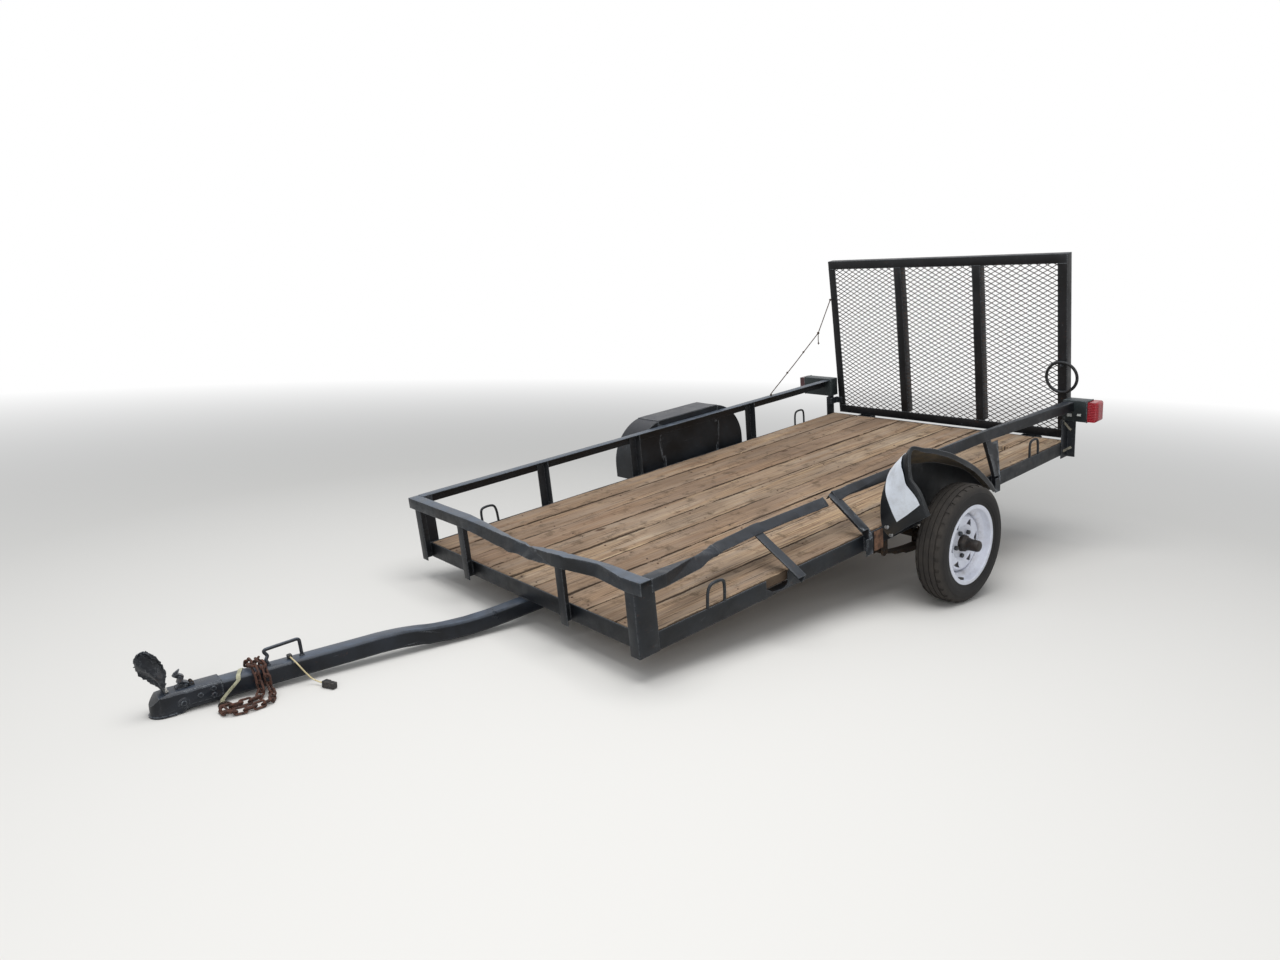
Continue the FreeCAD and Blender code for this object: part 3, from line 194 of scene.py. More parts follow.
# The clip is a folded saddle of black plastic on the drawbar, and the loom's black tape runs back through it.
shape = bmesh.new()
block(shape, (3982, -9, 108.7), (3998, 7.6, 123.2), 2.5, 3)
block(shape, (3985, -14, 108.2), (3995, -8, 111), 0.8, 1)
block(shape, (3986, -6, 122.6), (3994, 4, 124.2), 0.8, 1)
fit("lead_saddle", shape, black_pvc, "chassis", "black_cable", "lead_clip")

# Frame: hot-rolled steel angle, 70 mm on the sides and ends, welded up with five cross members under the
# deck and brushed with black enamel. The left side angle is torn near its front end.
def black_enamel(name, paint="#0f1114", faded="#1d2126", dust="#535860", dust_and_sheen_share=0.5, rust_share=0.5,
                 gloss=0.34, matt=0.6, mud=0.0):
    """Brushed black alkyd enamel on hot-rolled steel, years outside: bluish black and half matt, chalky in dust
    where it faces the sky and lighter there with a painted blue-grey sheen of sky light, rubbed to grey steel on its
    edges, with rust freckles and long scuffs."""
    enamel, place = new_finish(name)
    # blotches of 160 mm where the coat has thinned, brush drag of 10 mm, grit of 6 mm
    blotches = add(enamel, "TexNoise", {"Vector": place, "Scale": 6.2, "Detail": 5.0, "Roughness": 0.6})
    grit = add(enamel, "TexNoise", {"Vector": place, "Scale": 160.0, "Detail": 6.0, "Roughness": 0.7})
    thin = add(enamel, "ValToRGB", {0: blotches}, stops=((0.38, 0.0), (0.66, 1.0)))
    colour = add(enamel, "Mix", {0: thin, 6: paint, 7: faded}, 2, data_type="RGBA")
    # dust settles on faces that look up, and the blue-grey laid on them is also a painted sheen of sky light
    sky = add(enamel, "SeparateXYZ", {0: add(enamel, "TexCoord", {}, "Normal")}, "Z")
    settled_dust_and_sheen = add(enamel, "ValToRGB", {0: sky}, stops=((0.5, 0.0), (0.95, dust_and_sheen_share)))
    patches = add(enamel, "TexNoise", {"Vector": place, "Scale": 17.0, "Detail": 9.0, "Roughness": 0.65})
    patchy = add(enamel, "ValToRGB", {0: patches}, stops=((0.3, 0.25), (0.7, 1.0)))
    share = add(enamel, "Math", {0: settled_dust_and_sheen, 1: patchy}, operation="MULTIPLY")
    colour = add(enamel, "Mix", {0: share, 6: colour, 7: dust}, 2, data_type="RGBA")
    # mud thrown up by a wheel sticks to faces that look down
    if mud:
        thrown = add(enamel, "ValToRGB", {0: add(enamel, "Math", {0: sky, 1: -1.0}, operation="MULTIPLY")},
                     stops=((0.55, 0.0), (0.8, mud)))
        share = add(enamel, "Math", {0: thrown, 1: patchy}, operation="MULTIPLY")
        colour = add(enamel, "Mix", {0: share, 6: colour, 7: "#75654f"}, 2, data_type="RGBA")
    # rust comes through in freckles of about 20 mm, only where the coat is thin
    freckles = add(enamel, "TexNoise", {"Vector": place, "Scale": 45.0, "Detail": 9.0, "Roughness": 0.78})
    spots = add(enamel, "ValToRGB", {0: freckles}, stops=((0.59, 0.0), (0.68, rust_share)))
    share = add(enamel, "Math", {0: spots, 1: thin}, operation="MULTIPLY")
    rust = add(enamel, "Mix", {0: grit, 6: "#3a241a", 7: "#7a4a2c"}, 2, data_type="RGBA")
    colour = add(enamel, "Mix", {0: share, 6: colour, 7: rust}, 2, data_type="RGBA")
    # scuffs 10 mm wide and eight times as long
    long = add(enamel, "Mapping", {"Vector": place, "Scale": (0.12, 1.0, 0.7)})
    rubbed = add(enamel, "TexNoise", {"Vector": long, "Scale": 95.0, "Detail": 8.0, "Roughness": 0.65})
    scuffs = add(enamel, "ValToRGB", {0: rubbed}, stops=((0.63, 0.0), (0.74, 0.55)))
    share = add(enamel, "Math", {0: scuffs, 1: thin}, operation="MULTIPLY")
    colour = add(enamel, "Mix", {0: share, 6: colour, 7: "#787d84"}, 2, data_type="RGBA")
    # bare edges: high where the rounded normal leaves the flat one
    rounded = add(enamel, "Bevel", {"Radius": 0.004}, samples=4)
    flat = add(enamel, "NewGeometry", {}, "True Normal")
    level_with = add(enamel, "VectorMath", {0: rounded, 1: flat}, "Value", operation="DOT_PRODUCT")
    bare = add(enamel, "MapRange", {"Value": level_with, "From Min": 0.99, "From Max": 0.87})
    worn = add(enamel, "ValToRGB", {0: grit}, stops=((0.4, 0.0), (0.62, 0.75)))
    share = add(enamel, "Math", {0: bare, 1: worn}, operation="MULTIPLY")
    colour = add(enamel, "Mix", {0: share, 6: colour, 7: "#7e8388"}, 2, data_type="RGBA")
    roughness = add(enamel, "MapRange", {"Value": patches, "From Min": 0.3, "From Max": 0.7, "To Min": gloss,
                                         "To Max": matt})
    bump = add(enamel, "Bump", {"Height": grit, "Distance": 0.0005, "Strength": 0.7})
    shader = add(enamel, "BsdfPrincipled", {"Base Color": colour, "Roughness": roughness, "Specular IOR Level": 0.28,
                                            "Normal": bump})
    add(enamel, "OutputMaterial", {"Surface": shader})
    return enamel


# Blender seeds its noise from the clock, so it gets a seed of its own, or every dent would move at each run.
noise.seed_set(5)


def rolled(node, rounding=1.5, spacing=60.0, wave=0.8, dents=()):
    """A level copy of a node's shape in millimetres: triangles in one plane are joined, edges rounded as rolling
    leaves them, and faces put slightly out of true, more inside dents of place, reach and depth."""
    shape = bmesh.new()
    shape.from_mesh(frame["nodes"][node].data)
    shape.transform(parked.inverted())
    bmesh.ops.remove_doubles(shape, verts=shape.verts, dist=0.01)
    bmesh.ops.dissolve_limit(shape, angle_limit=math.radians(1.0), verts=shape.verts, edges=shape.edges)
    if rounding:
        sharp = [edge for edge in shape.edges if len(edge.link_faces) == 2
                 and edge.calc_face_angle(0.0) > math.radians(28)]
        bmesh.ops.bevel(shape, geom=sharp, offset=rounding, affect="EDGES", segments=2, profile=0.5, material=-1,
                        clamp_overlap=True)
    for axis in range(3):
        low = min(vert.co[axis] for vert in shape.verts)
        high = max(vert.co[axis] for vert in shape.verts)
        cuts = int((high - low) / spacing)
        for cut in range(1, cuts + 1):
            where, across = Vector(), Vector()
            where[axis] = low + (high - low) * cut / (cuts + 1)
            across[axis] = 1.0
            bmesh.ops.bisect_plane(shape, geom=shape.verts[:] + shape.edges[:] + shape.faces[:], dist=0.01,
                                   plane_co=where, plane_no=across)
    for vert in shape.verts:
        push = noise.noise_vector(vert.co / 230) * wave
        for middle, reach, depth in dents:
            near = 1 - (vert.co - Vector(middle)).length / reach
            if near > 0:
                push += noise.noise_vector(vert.co / 42) * depth * near
        vert.co += push
    return shape


frame_enamel = black_enamel("black_enamel_on_frame", dust="#4d525a")
fit("left_side_angle", rolled("side_frame_left", dents=(((2380, 785, 30), 130, 14), ((1900, 787, 40), 60, 5))),
    frame_enamel, "chassis", "black_paint", "side_frame_left")
fit("right_side_angle", rolled("side_frame_right"), frame_enamel, "chassis", "black_paint", "side_frame_right")
fit("front_end_angle", rolled("front_frame"), frame_enamel, "chassis", "black_paint", "front_frame")
fit("rear_end_angle", rolled("rear_frame"), frame_enamel, "chassis", "black_paint", "rear_frame")
fit("cross_angles", rolled("cross_members", spacing=200.0), frame_enamel, "chassis", "black_paint", "cross_members")

# Welds: fillet beads laid by hand with a stick, lumpy and painted over, on every joint that can be seen.
random.seed(11)
lean = (Matrix.Translation(gate_pin) @ Matrix.Rotation(math.radians(4.5), 4, "Y") @ Matrix.Translation(-gate_pin))


def bead(start, end, place=None):
    start, end = Vector(start), Vector(end)
    count = max(4, int((end - start).length / 4.2))
    run = []
    for step in range(count + 1):
        spot = start.lerp(end, step / count) + Vector([random.uniform(-0.5, 0.5) for _ in range(3)])
        if place:
            spot = place @ spot
        run.append((*spot, random.uniform(0.8, 1.25) * (0.55 if step in (0, count) else 1.0)))
    return run


beads = []
for x in (775, 1712, 2335):
    beads += [bead((x - 1, -789, 4), (x - 1, -789, 66)), bead((x + 5, -789, 4), (x + 5, -789, 66)),
              bead((x + 2, -790, 70), (x + 2, -826, 70)), bead((x + 4, -827, 291), (x + 42, -827, 291))]
for x in (790, 1828):
    beads += [bead((x - 1, 789, 4), (x - 1, 789, 60)), bead((x + 5, 789, 4), (x + 5, 789, 60))]
for y in (-400, 330):
    beads += [bead((3051, y - 1, 4), (3051, y - 1, 66)), bead((3051, y + 5, 4), (3051, y + 5, 66)),
              bead((3053, y + 2, 70), (3090, y + 2, 70))]
for n in range(1, 6):
    x = 508.33 * n
    beads += [bead((x, side * 781, 31), (x + 48, side * 781, 31)) for side in (-1, 1)]
beads += [bead((3004, side * 33.5, -1), (3050, side * 33.5, -1)) for side in (-1, 1)]
beads += [bead((3051, -32, 0), (3051, 32, 0)), bead((2541, -32, 0), (2541, 32, 0))]
for y in (-595, 525):
    for start in (y - 13.5, y + 75.5):
        beads += [bead((-1, start - 1, 40), (-1, start - 1, 62)), bead((-1, start + 9, 40), (-1, start + 9, 62))]
round_bar("frame_beads", beads, 3.2, frame_enamel, "chassis", "black_paint", smooth=2, sides=1)
beads = []
for y in (-256, 256):
    beads += [bead((-40, y - 24, z), (-40, y + 24, z), lean) for z in (121, 1025)]
for y in (-768, 768):
    side = 1 if y > 0 else -1
    beads += [bead((-40, y, z), (-40, y - side * 50, z), lean) for z in (121, 1025)]
for y in (-595, 525):
    beads += [bead((-57, y + 4, 71), (-57, y + 66, 71), lean)]
gate_enamel = black_enamel("black_enamel_on_gate", paint="#101113", faded="#1c1d20", rust_share=0.75, dust_and_sheen_share=0.35)
round_bar("gate_beads", beads, 2.6, gate_enamel, "gate", "black_paint", smooth=2, sides=1)


# Deck: nine rough-sawn softwood boards, 169 by 38 mm, screwed down on the cross angles and never treated.
# One is broken out at the back. They have cupped and twisted, and each has gone its own shade.
def weathered_softwood():
    """Rough-sawn pine left bare for years: tan gone grey, grain raised along the board, dark checks between
    growth rings, a few knots, and dirt trodden in. The face attribute board holds each board's own shade."""
    wood, place = new_finish("weathered_softwood")
    shade = add(wood, "Attribute", {}, "Fac", attribute_name="board")
    split = add(wood, "SeparateXYZ", {"Vector": place})
    axes = split.node.outputs
    axes_x = axes["X"]
    lift = add(wood, "Math", {0: shade, 1: 9.0}, operation="MULTIPLY")
    own = add(wood, "CombineXYZ", {"X": axes["X"], "Y": axes["Y"], "Z": lift})
    # growth rings show as streaks 9 mm wide and 300 mm long; finer ones are drawn this coarse to show at all
    slow = add(wood, "Mapping", {"Vector": own, "Scale": (0.03, 1.0, 1.0)})
    grain = add(wood, "TexNoise", {"Vector": slow, "Scale": 115.0, "Detail": 10.0, "Roughness": 0.68})
    colour = add(wood, "ValToRGB", {0: grain}, stops=((0.27, "#554336"), (0.47, "#9a8067"), (0.68, "#d6bb94")))
    # silvered streaks 50 mm wide
    wide = add(wood, "Mapping", {"Vector": own, "Scale": (0.1, 1.0, 1.0)})
    streaks = add(wood, "TexNoise", {"Vector": wide, "Scale": 20.0, "Detail": 6.0})
    share = add(wood, "ValToRGB", {0: streaks}, stops=((0.38, 0.0), (0.7, 0.6)))
    colour = add(wood, "Mix", {0: share, 6: colour, 7: "#bcb0a0"}, 2, data_type="RGBA")
    # boards differ, from pale tan to brown, and the front of the deck is browner
    share = add(wood, "ValToRGB", {0: shade}, stops=((0.0, 0.0), (1.0, 0.6)))
    colour = add(wood, "Mix", {0: share, 6: colour, 7: "#806450"}, 2, data_type="RGBA")
    far = add(wood, "Mapping", {"Vector": own, "Scale": (0.35, 1.0, 1.0)})
    far = add(wood, "TexNoise", {"Vector": far, "Scale": 4.5, "Detail": 4.0})
    share = add(wood, "ValToRGB", {0: far}, stops=((0.4, 0.0), (0.62, 0.6)))
    colour = add(wood, "Mix", {0: share, 6: colour, 7: "#6f5c4c"}, 2, data_type="RGBA")
    forward = add(wood, "MapRange", {"Value": axes_x, "From Min": 1.4, "From Max": 3.0, "To Max": 0.35})
    colour = add(wood, "Mix", {0: forward, 6: colour, 7: "#6c5a4b"}, 2, data_type="RGBA")
    # knots 25 mm across, about three to a square metre
    loose = add(wood, "Mapping", {"Vector": own, "Scale": (0.5, 1.0, 1.0)})
    knot = add(wood, "TexVoronoi", {"Vector": loose, "Scale": 5.2, "Randomness": 1.0})
    share = add(wood, "ValToRGB", {0: knot}, stops=((0.05, 0.9), (0.1, 0.0)))
    colour = add(wood, "Mix", {0: share, 6: colour, 7: "#4a3526"}, 2, data_type="RGBA")
    # dirt packed along the boards' edges, 3 to 12 mm wide, laid darker as painted shade of the gaps, so that the gaps
    # look wider here and there
    across = add(wood, "Math", {0: axes["Y"], 1: 0.7805}, operation="ADD")
    across = add(wood, "Math", {0: across, 1: 0.08672}, operation="PINGPONG")
    seam_dirt_and_shade = add(wood, "TexNoise", {"Vector": own, "Scale": 5.0, "Detail": 6.0, "Roughness": 0.7})
    reach = add(wood, "MapRange", {"Value": seam_dirt_and_shade, "From Min": 0.4, "From Max": 0.65, "To Min": 0.001, "To Max": 0.013})
    share = add(wood, "Math", {0: across, 1: reach}, operation="LESS_THAN")
    share = add(wood, "Math", {0: share, 1: 0.8}, operation="MULTIPLY")
    colour = add(wood, "Mix", {0: share, 6: colour, 7: "#32271e"}, 2, data_type="RGBA")
    # trodden dirt in patches of 60 to 120 mm
    dirt = add(wood, "TexNoise", {"Vector": place, "Scale": 12.0, "Detail": 10.0, "Roughness": 0.75})
    share = add(wood, "ValToRGB", {0: dirt}, stops=((0.53, 0.0), (0.68, 0.85)))
    colour = add(wood, "Mix", {0: share, 6: colour, 7: "#463829"}, 2, data_type="RGBA")
    # drying checks 3 mm wide and 250 mm long
    thin = add(wood, "Mapping", {"Vector": own, "Scale": (0.012, 1.0, 1.0)})
    check = add(wood, "TexNoise", {"Vector": thin, "Scale": 190.0, "Detail": 3.0, "Roughness": 0.5})
    cracks = add(wood, "ValToRGB", {0: check}, stops=((0.655, 0.0), (0.69, 1.0)))
    colour = add(wood, "Mix", {0: cracks, 6: colour, 7: "#2b2119"}, 2, data_type="RGBA")
    relief = add(wood, "Math", {0: grain, 1: cracks}, operation="SUBTRACT")
    bump = add(wood, "Bump", {"Height": relief, "Distance": 0.003, "Strength": 0.8})
    shader = add(wood, "BsdfPrincipled", {"Base Color": colour, "Roughness": 0.9, "Specular IOR Level": 0.3,
                                          "Normal": bump})
    add(wood, "OutputMaterial", {"Surface": shader})
    return wood


random.seed(5)
shape = rolled("deck_planks", rounding=2.2, spacing=165.0, wave=0.0)
boards = [(random.random(), random.uniform(-1.5, 0.6), random.uniform(-1.4, 1.4), random.uniform(-1.6, 1.6))
          for _ in range(9)]
tone = shape.faces.layers.float.new("board")
for face in shape.faces:
    face[tone] = boards[min(8, max(0, int((face.calc_center_median().y + 780.5) / 173.44)))][0]
for vert in shape.verts:
    index = min(8, max(0, int((vert.co.y + 780.5) / 173.44)))
    _, sink, cup, twist = boards[index]
    aside = (vert.co.y - (-693.8 + 173.44 * index)) / 85
    vert.co.z += sink + cup * aside * aside + twist * aside * (vert.co.x - 1525) / 1525
    vert.co.z += 1.5 * noise.noise(Vector((vert.co.x / 420, index * 7.1, 0)))
    vert.co.y += 1.2 * noise.noise(Vector((vert.co.x / 350, index * 3.7, 5)))
fit("softwood_boards", shape, weathered_softwood(), "chassis", "weathered_wood", "deck_planks", corner=38)

# Screws: two rusty wafer heads through every board into every cross angle and both end angles.
rusty = bmesh.new()
for x in [30] + [508.33 * n + 22 for n in range(1, 6)] + [3018]:
    for board in range(9):
        for aside in (-52, 52):
            spot = Matrix.Translation((x + random.uniform(-9, 9), -693.8 + 173.44 * board + aside
                                       + random.uniform(-8, 8), 70.4 + boards[board][1]))
            bmesh.ops.create_cone(rusty, segments=8, radius1=5.5, radius2=3.2, depth=2.0, cap_ends=True, matrix=spot)


# Plain carbon steel left to rust: brown scale over dark steel in blotches of about 15 mm, dull and granular.
def rusted_steel(name, dark, brown, metallic=0.2, roughness=0.75, scale=65.0):
    steel, place = new_finish(name)
    scales = add(steel, "TexNoise", {"Vector": place, "Scale": scale, "Detail": 9.0, "Roughness": 0.75})
    share = add(steel, "ValToRGB", {0: scales}, stops=((0.4, 0.0), (0.62, 1.0)))
    colour = add(steel, "Mix", {0: share, 6: dark, 7: brown}, 2, data_type="RGBA")
    bump = add(steel, "Bump", {"Height": scales, "Distance": 0.0008, "Strength": 0.7})
    shader = add(steel, "BsdfPrincipled", {"Base Color": colour, "Roughness": roughness, "Metallic": metallic,
                                           "Normal": bump})
    add(steel, "OutputMaterial", {"Surface": shader})
    return steel


fit("board_screws", rusty, rusted_steel("rusted_screw_steel", "#2c2420", "#5a3b28"), "chassis", "rusty_steel")

# Posts: 45 mm angle, stood outside the frame and welded to it. Three of the left ones are bent inwards.
for node, spacing, wave in (("posts_right", 90, 0.8), ("posts_front", 60, 1.2), ("posts_corner", 60, 1.0),
                            ("posts_rear", 60, 0.8), ("post_bent_front", 30, 3.0), ("post_bent_middle", 30, 3.0),
                            ("post_bent_rear", 40, 2.0)):
    fit(node.replace("posts", "upright").replace("post", "upright") + "_angle", rolled(node, 1.6, spacing, wave),
        frame_enamel, "chassis", "black_paint", node)

# Rails: 50 mm angle, leg down, welded on the posts. The front one is dented between its posts and the left
# one is knocked inwards, kinked and torn in two, so that its flange has gone wavy.
# the rails' tops take much blue-grey, in part dust and in part a painted sheen of sky light
rail_enamel = black_enamel("black_enamel_on_rails", faded="#20252b", dust="#6a7482", dust_and_sheen_share=0.75, gloss=0.26)
fit("right_rail_angle", rolled("rail_right", 1.6, 120, 1.0), rail_enamel, "chassis", "black_paint", "rail_right")
fit("front_rail_angle", rolled("rail_front", 1.8, 26, 4.0, (((3060, 120, 270), 260, 9), ((3060, 385, 290), 70, 9),
                                                             ((3080, 760, 292), 60, 5))),
    rail_enamel, "chassis", "black_paint", "rail_front")
# the bent rails' tops take a little blue-grey, in part dust and in part a painted sheen of sky light
bent_enamel = black_enamel("black_enamel_on_bent_rails", paint="#0c0e11", faded="#191c21", dust="#4b525d", dust_and_sheen_share=0.35,
                           gloss=0.3)
fit("left_rail_front_angle", rolled("rail_left_front", 1.8, 26, 4.0, (((1920, 660, 200), 90, 16), ((2330, 610, 230), 90, 9),
                                                                       ((2600, 640, 240), 160, 12))),
    bent_enamel, "chassis", "black_paint", "rail_left_front")
fit("left_rail_rear_angle", rolled("rail_left_rear", 1.8, 26, 3.0, (((1820, 640, 220), 110, 14), ((1300, 700, 250), 120, 6))),
    bent_enamel, "chassis", "black_paint", "rail_left_rear")

# Tie loops: 12 mm round bar bent to a hoop and welded inside the side angles.
hoops = []
for x, y, slouch in ((365, 785, 2), (365, -785, -2), (2715, 785, -9), (2715, -785, 6)):
    hoops.append([(x - 44, y, 68), (x - 44 + slouch * 0.2, y, 88), (x - 44 + slouch * 0.5, y, 122),
                  (x - 38 + slouch, y, 150), (x - 18 + slouch, y, 158), (x + 18 + slouch, y, 158),
                  (x + 38 + slouch, y, 150), (x + 44 + slouch * 0.5, y, 122), (x + 44 + slouch * 0.2, y, 88),
                  (x + 44, y, 68)])
round_bar("tie_hoops", hoops, 6, frame_enamel, "chassis", "black_paint", "tie_loops", smooth=6)

# Axle and springs: a round tube with welded spindles on three-leaf slipper springs, held by forged U-bolts,
# all bare mild steel gone dark with oil, brake dust and brown rust.
axle_steel = rusted_steel("oiled_axle_steel", "#17181a", "#40301f", metallic=0.35, roughness=0.6)
fit("axle_tube", rolled("axle", 1.0, 300, 0.0), axle_steel, "chassis", "dirty_steel", "axle")
for side in ("left", "right"):
    fit(side + "_leaf_spring", rolled("spring_" + side, 0.9, 400, 0.0), axle_steel, "chassis", "dirty_steel",
        "spring_" + side, corner=24)
shape = rolled("spring_hangers", 0.9, 400, 0.0)
for x in (1020, 1680):
    for y in (722, 788, -722, -788):
        out = 1 if abs(y) > 755 else -1
        bmesh.ops.create_cone(shape, segments=6, radius1=10, radius2=9, depth=7, cap_ends=True,
                              matrix=Matrix.Translation((x, y + out * math.copysign(3.0, y), -49))
                              @ Matrix.Rotation(math.pi / 2, 4, "X"))
fit("spring_shackles", shape, axle_steel, "chassis", "dirty_steel", "spring_hangers", corner=24)
shape = rolled("axle_clamps", 0.8, 400, 0.0)
for side in (-755, 755):
    for dx in (-29, 29):
        for dy in (-30, 30):
            bmesh.ops.create_cone(shape, segments=6, radius1=9.5, radius2=9.5, depth=8, cap_ends=True,
                                  matrix=Matrix.Translation((1350 + dx, side + dy, -136.4)))
fit("u_bolts", shape, axle_steel, "chassis", "dirty_steel", "axle_clamps", corner=24)


# Tyres: bias-ply rubber in a 13 inch bead, 540 mm high and 140 wide. Four grooves run round the tread, and
# slots cut the shoulders. Moulded in one piece, so that ribs and bead line stand proud of the sidewall.
def turned(shape, profile, steps, closed=False):
    """Adds a shape of revolution on the axle's line from pairs of place across and radius."""
    row = [shape.verts.new((axle.x, y, axle.z + radius)) for y, radius in profile]
    edges = [shape.edges.new(pair) for pair in zip(row, row[1:] + (row[:1] if closed else []))]
    bmesh.ops.spin(shape, geom=row + edges, cent=axle, axis=(0, 1, 0), angle=math.tau, steps=steps, use_merge=True)
    bmesh.ops.remove_doubles(shape, verts=shape.verts, dist=0.02)
    bmesh.ops.recalc_face_normals(shape, faces=shape.faces)


def about_axle(finish, place):
    """Distance from the wheel's axis in metres."""
    flat = add(finish, "Mapping", {"Vector": place, "Scale": (1.0, 0.0, 1.0)})
    return add(finish, "VectorMath", {0: flat, 1: (axle.x / 1000, 0.0, axle.z / 1000)}, "Value", operation="DISTANCE")


rubber, place = new_finish("dusty_tyre_rubber")
from_axis = about_axle(rubber, place)
dust = add(rubber, "TexNoise", {"Vector": place, "Scale": 14.0, "Detail": 9.0, "Roughness": 0.72})
on_tread = add(rubber, "ValToRGB", {0: add(rubber, "MapRange", {"Value": from_axis, "From Min": 0.18, "From Max": 0.27})},
               stops=((0.0, 0.3), (0.2, 0.15), (0.62, 0.25), (0.9, 0.65), (1.0, 0.6)))
cloudy = add(rubber, "ValToRGB", {0: dust}, stops=((0.3, 0.35), (0.7, 1.0)))
share = add(rubber, "Math", {0: on_tread, 1: cloudy}, operation="MULTIPLY")
# carbon-black rubber is dark grey rather than black, and brown dust fills its pores, drawn 3 mm coarse
colour = add(rubber, "Mix", {0: share, 6: "#1b1c1e", 7: "#4c4640"}, 2, data_type="RGBA")
pores = add(rubber, "TexNoise", {"Vector": place, "Scale": 320.0, "Detail": 3.0})
bump = add(rubber, "Bump", {"Height": pores, "Distance": 0.0005, "Strength": 0.6})
shader = add(rubber, "BsdfPrincipled", {"Base Color": colour, "Roughness": 0.85, "IOR": 1.52, "Specular IOR Level": 0.3, "Normal": bump})
add(rubber, "OutputMaterial", {"Surface": shader})

# White wheels: stamped steel discs welded into rolled rims and powder coated. Brown dust lies in the corner
# below the bead seat and round the edge of the disc, laid darker there as painted shade of the drop well.
white_coat, place = new_finish("white_powder_coat")
from_axis = about_axle(white_coat, place)
grime = add(white_coat, "TexNoise", {"Vector": place, "Scale": 24.0, "Detail": 9.0, "Roughness": 0.7})
hollow_dust_and_shade = add(white_coat, "ValToRGB", {0: add(white_coat, "MapRange", {"Value": from_axis, "From Min": 0.03, "From Max": 0.18})},
              stops=((0.0, 0.7), (0.12, 0.35), (0.3, 0.12), (0.56, 0.08), (0.68, 0.6), (0.74, 0.75), (0.84, 0.35), (1.0, 0.1)))
thick = add(white_coat, "ValToRGB", {0: grime}, stops=((0.38, 0.15), (0.72, 1.0)))
share = add(white_coat, "Math", {0: hollow_dust_and_shade, 1: thick}, operation="MULTIPLY")
colour = add(white_coat, "Mix", {0: share, 6: "#dfe3ef", 7: "#837970"}, 2, data_type="RGBA")
chips = add(white_coat, "TexNoise", {"Vector": place, "Scale": 120.0, "Detail": 4.0, "Roughness": 0.6})
share = add(white_coat, "ValToRGB", {0: chips}, stops=((0.7, 0.0), (0.73, 0.8)))
colour = add(white_coat, "Mix", {0: share, 6: colour, 7: "#6b4a35"}, 2, data_type="RGBA")
bump = add(white_coat, "Bump", {"Height": chips, "Distance": 0.0002, "Strength": 0.3})
shader = add(white_coat, "BsdfPrincipled", {"Base Color": colour, "Roughness": 0.36, "Normal": bump})
add(white_coat, "OutputMaterial", {"Surface": shader})

hub_iron = rusted_steel("greasy_cast_iron", "#131110", "#2b211a", metallic=0.2, roughness=0.5)
nut_steel = rusted_steel("dull_zinc_plated_steel", "#4a525a", "#3a332d", metallic=0.6, roughness=0.5)

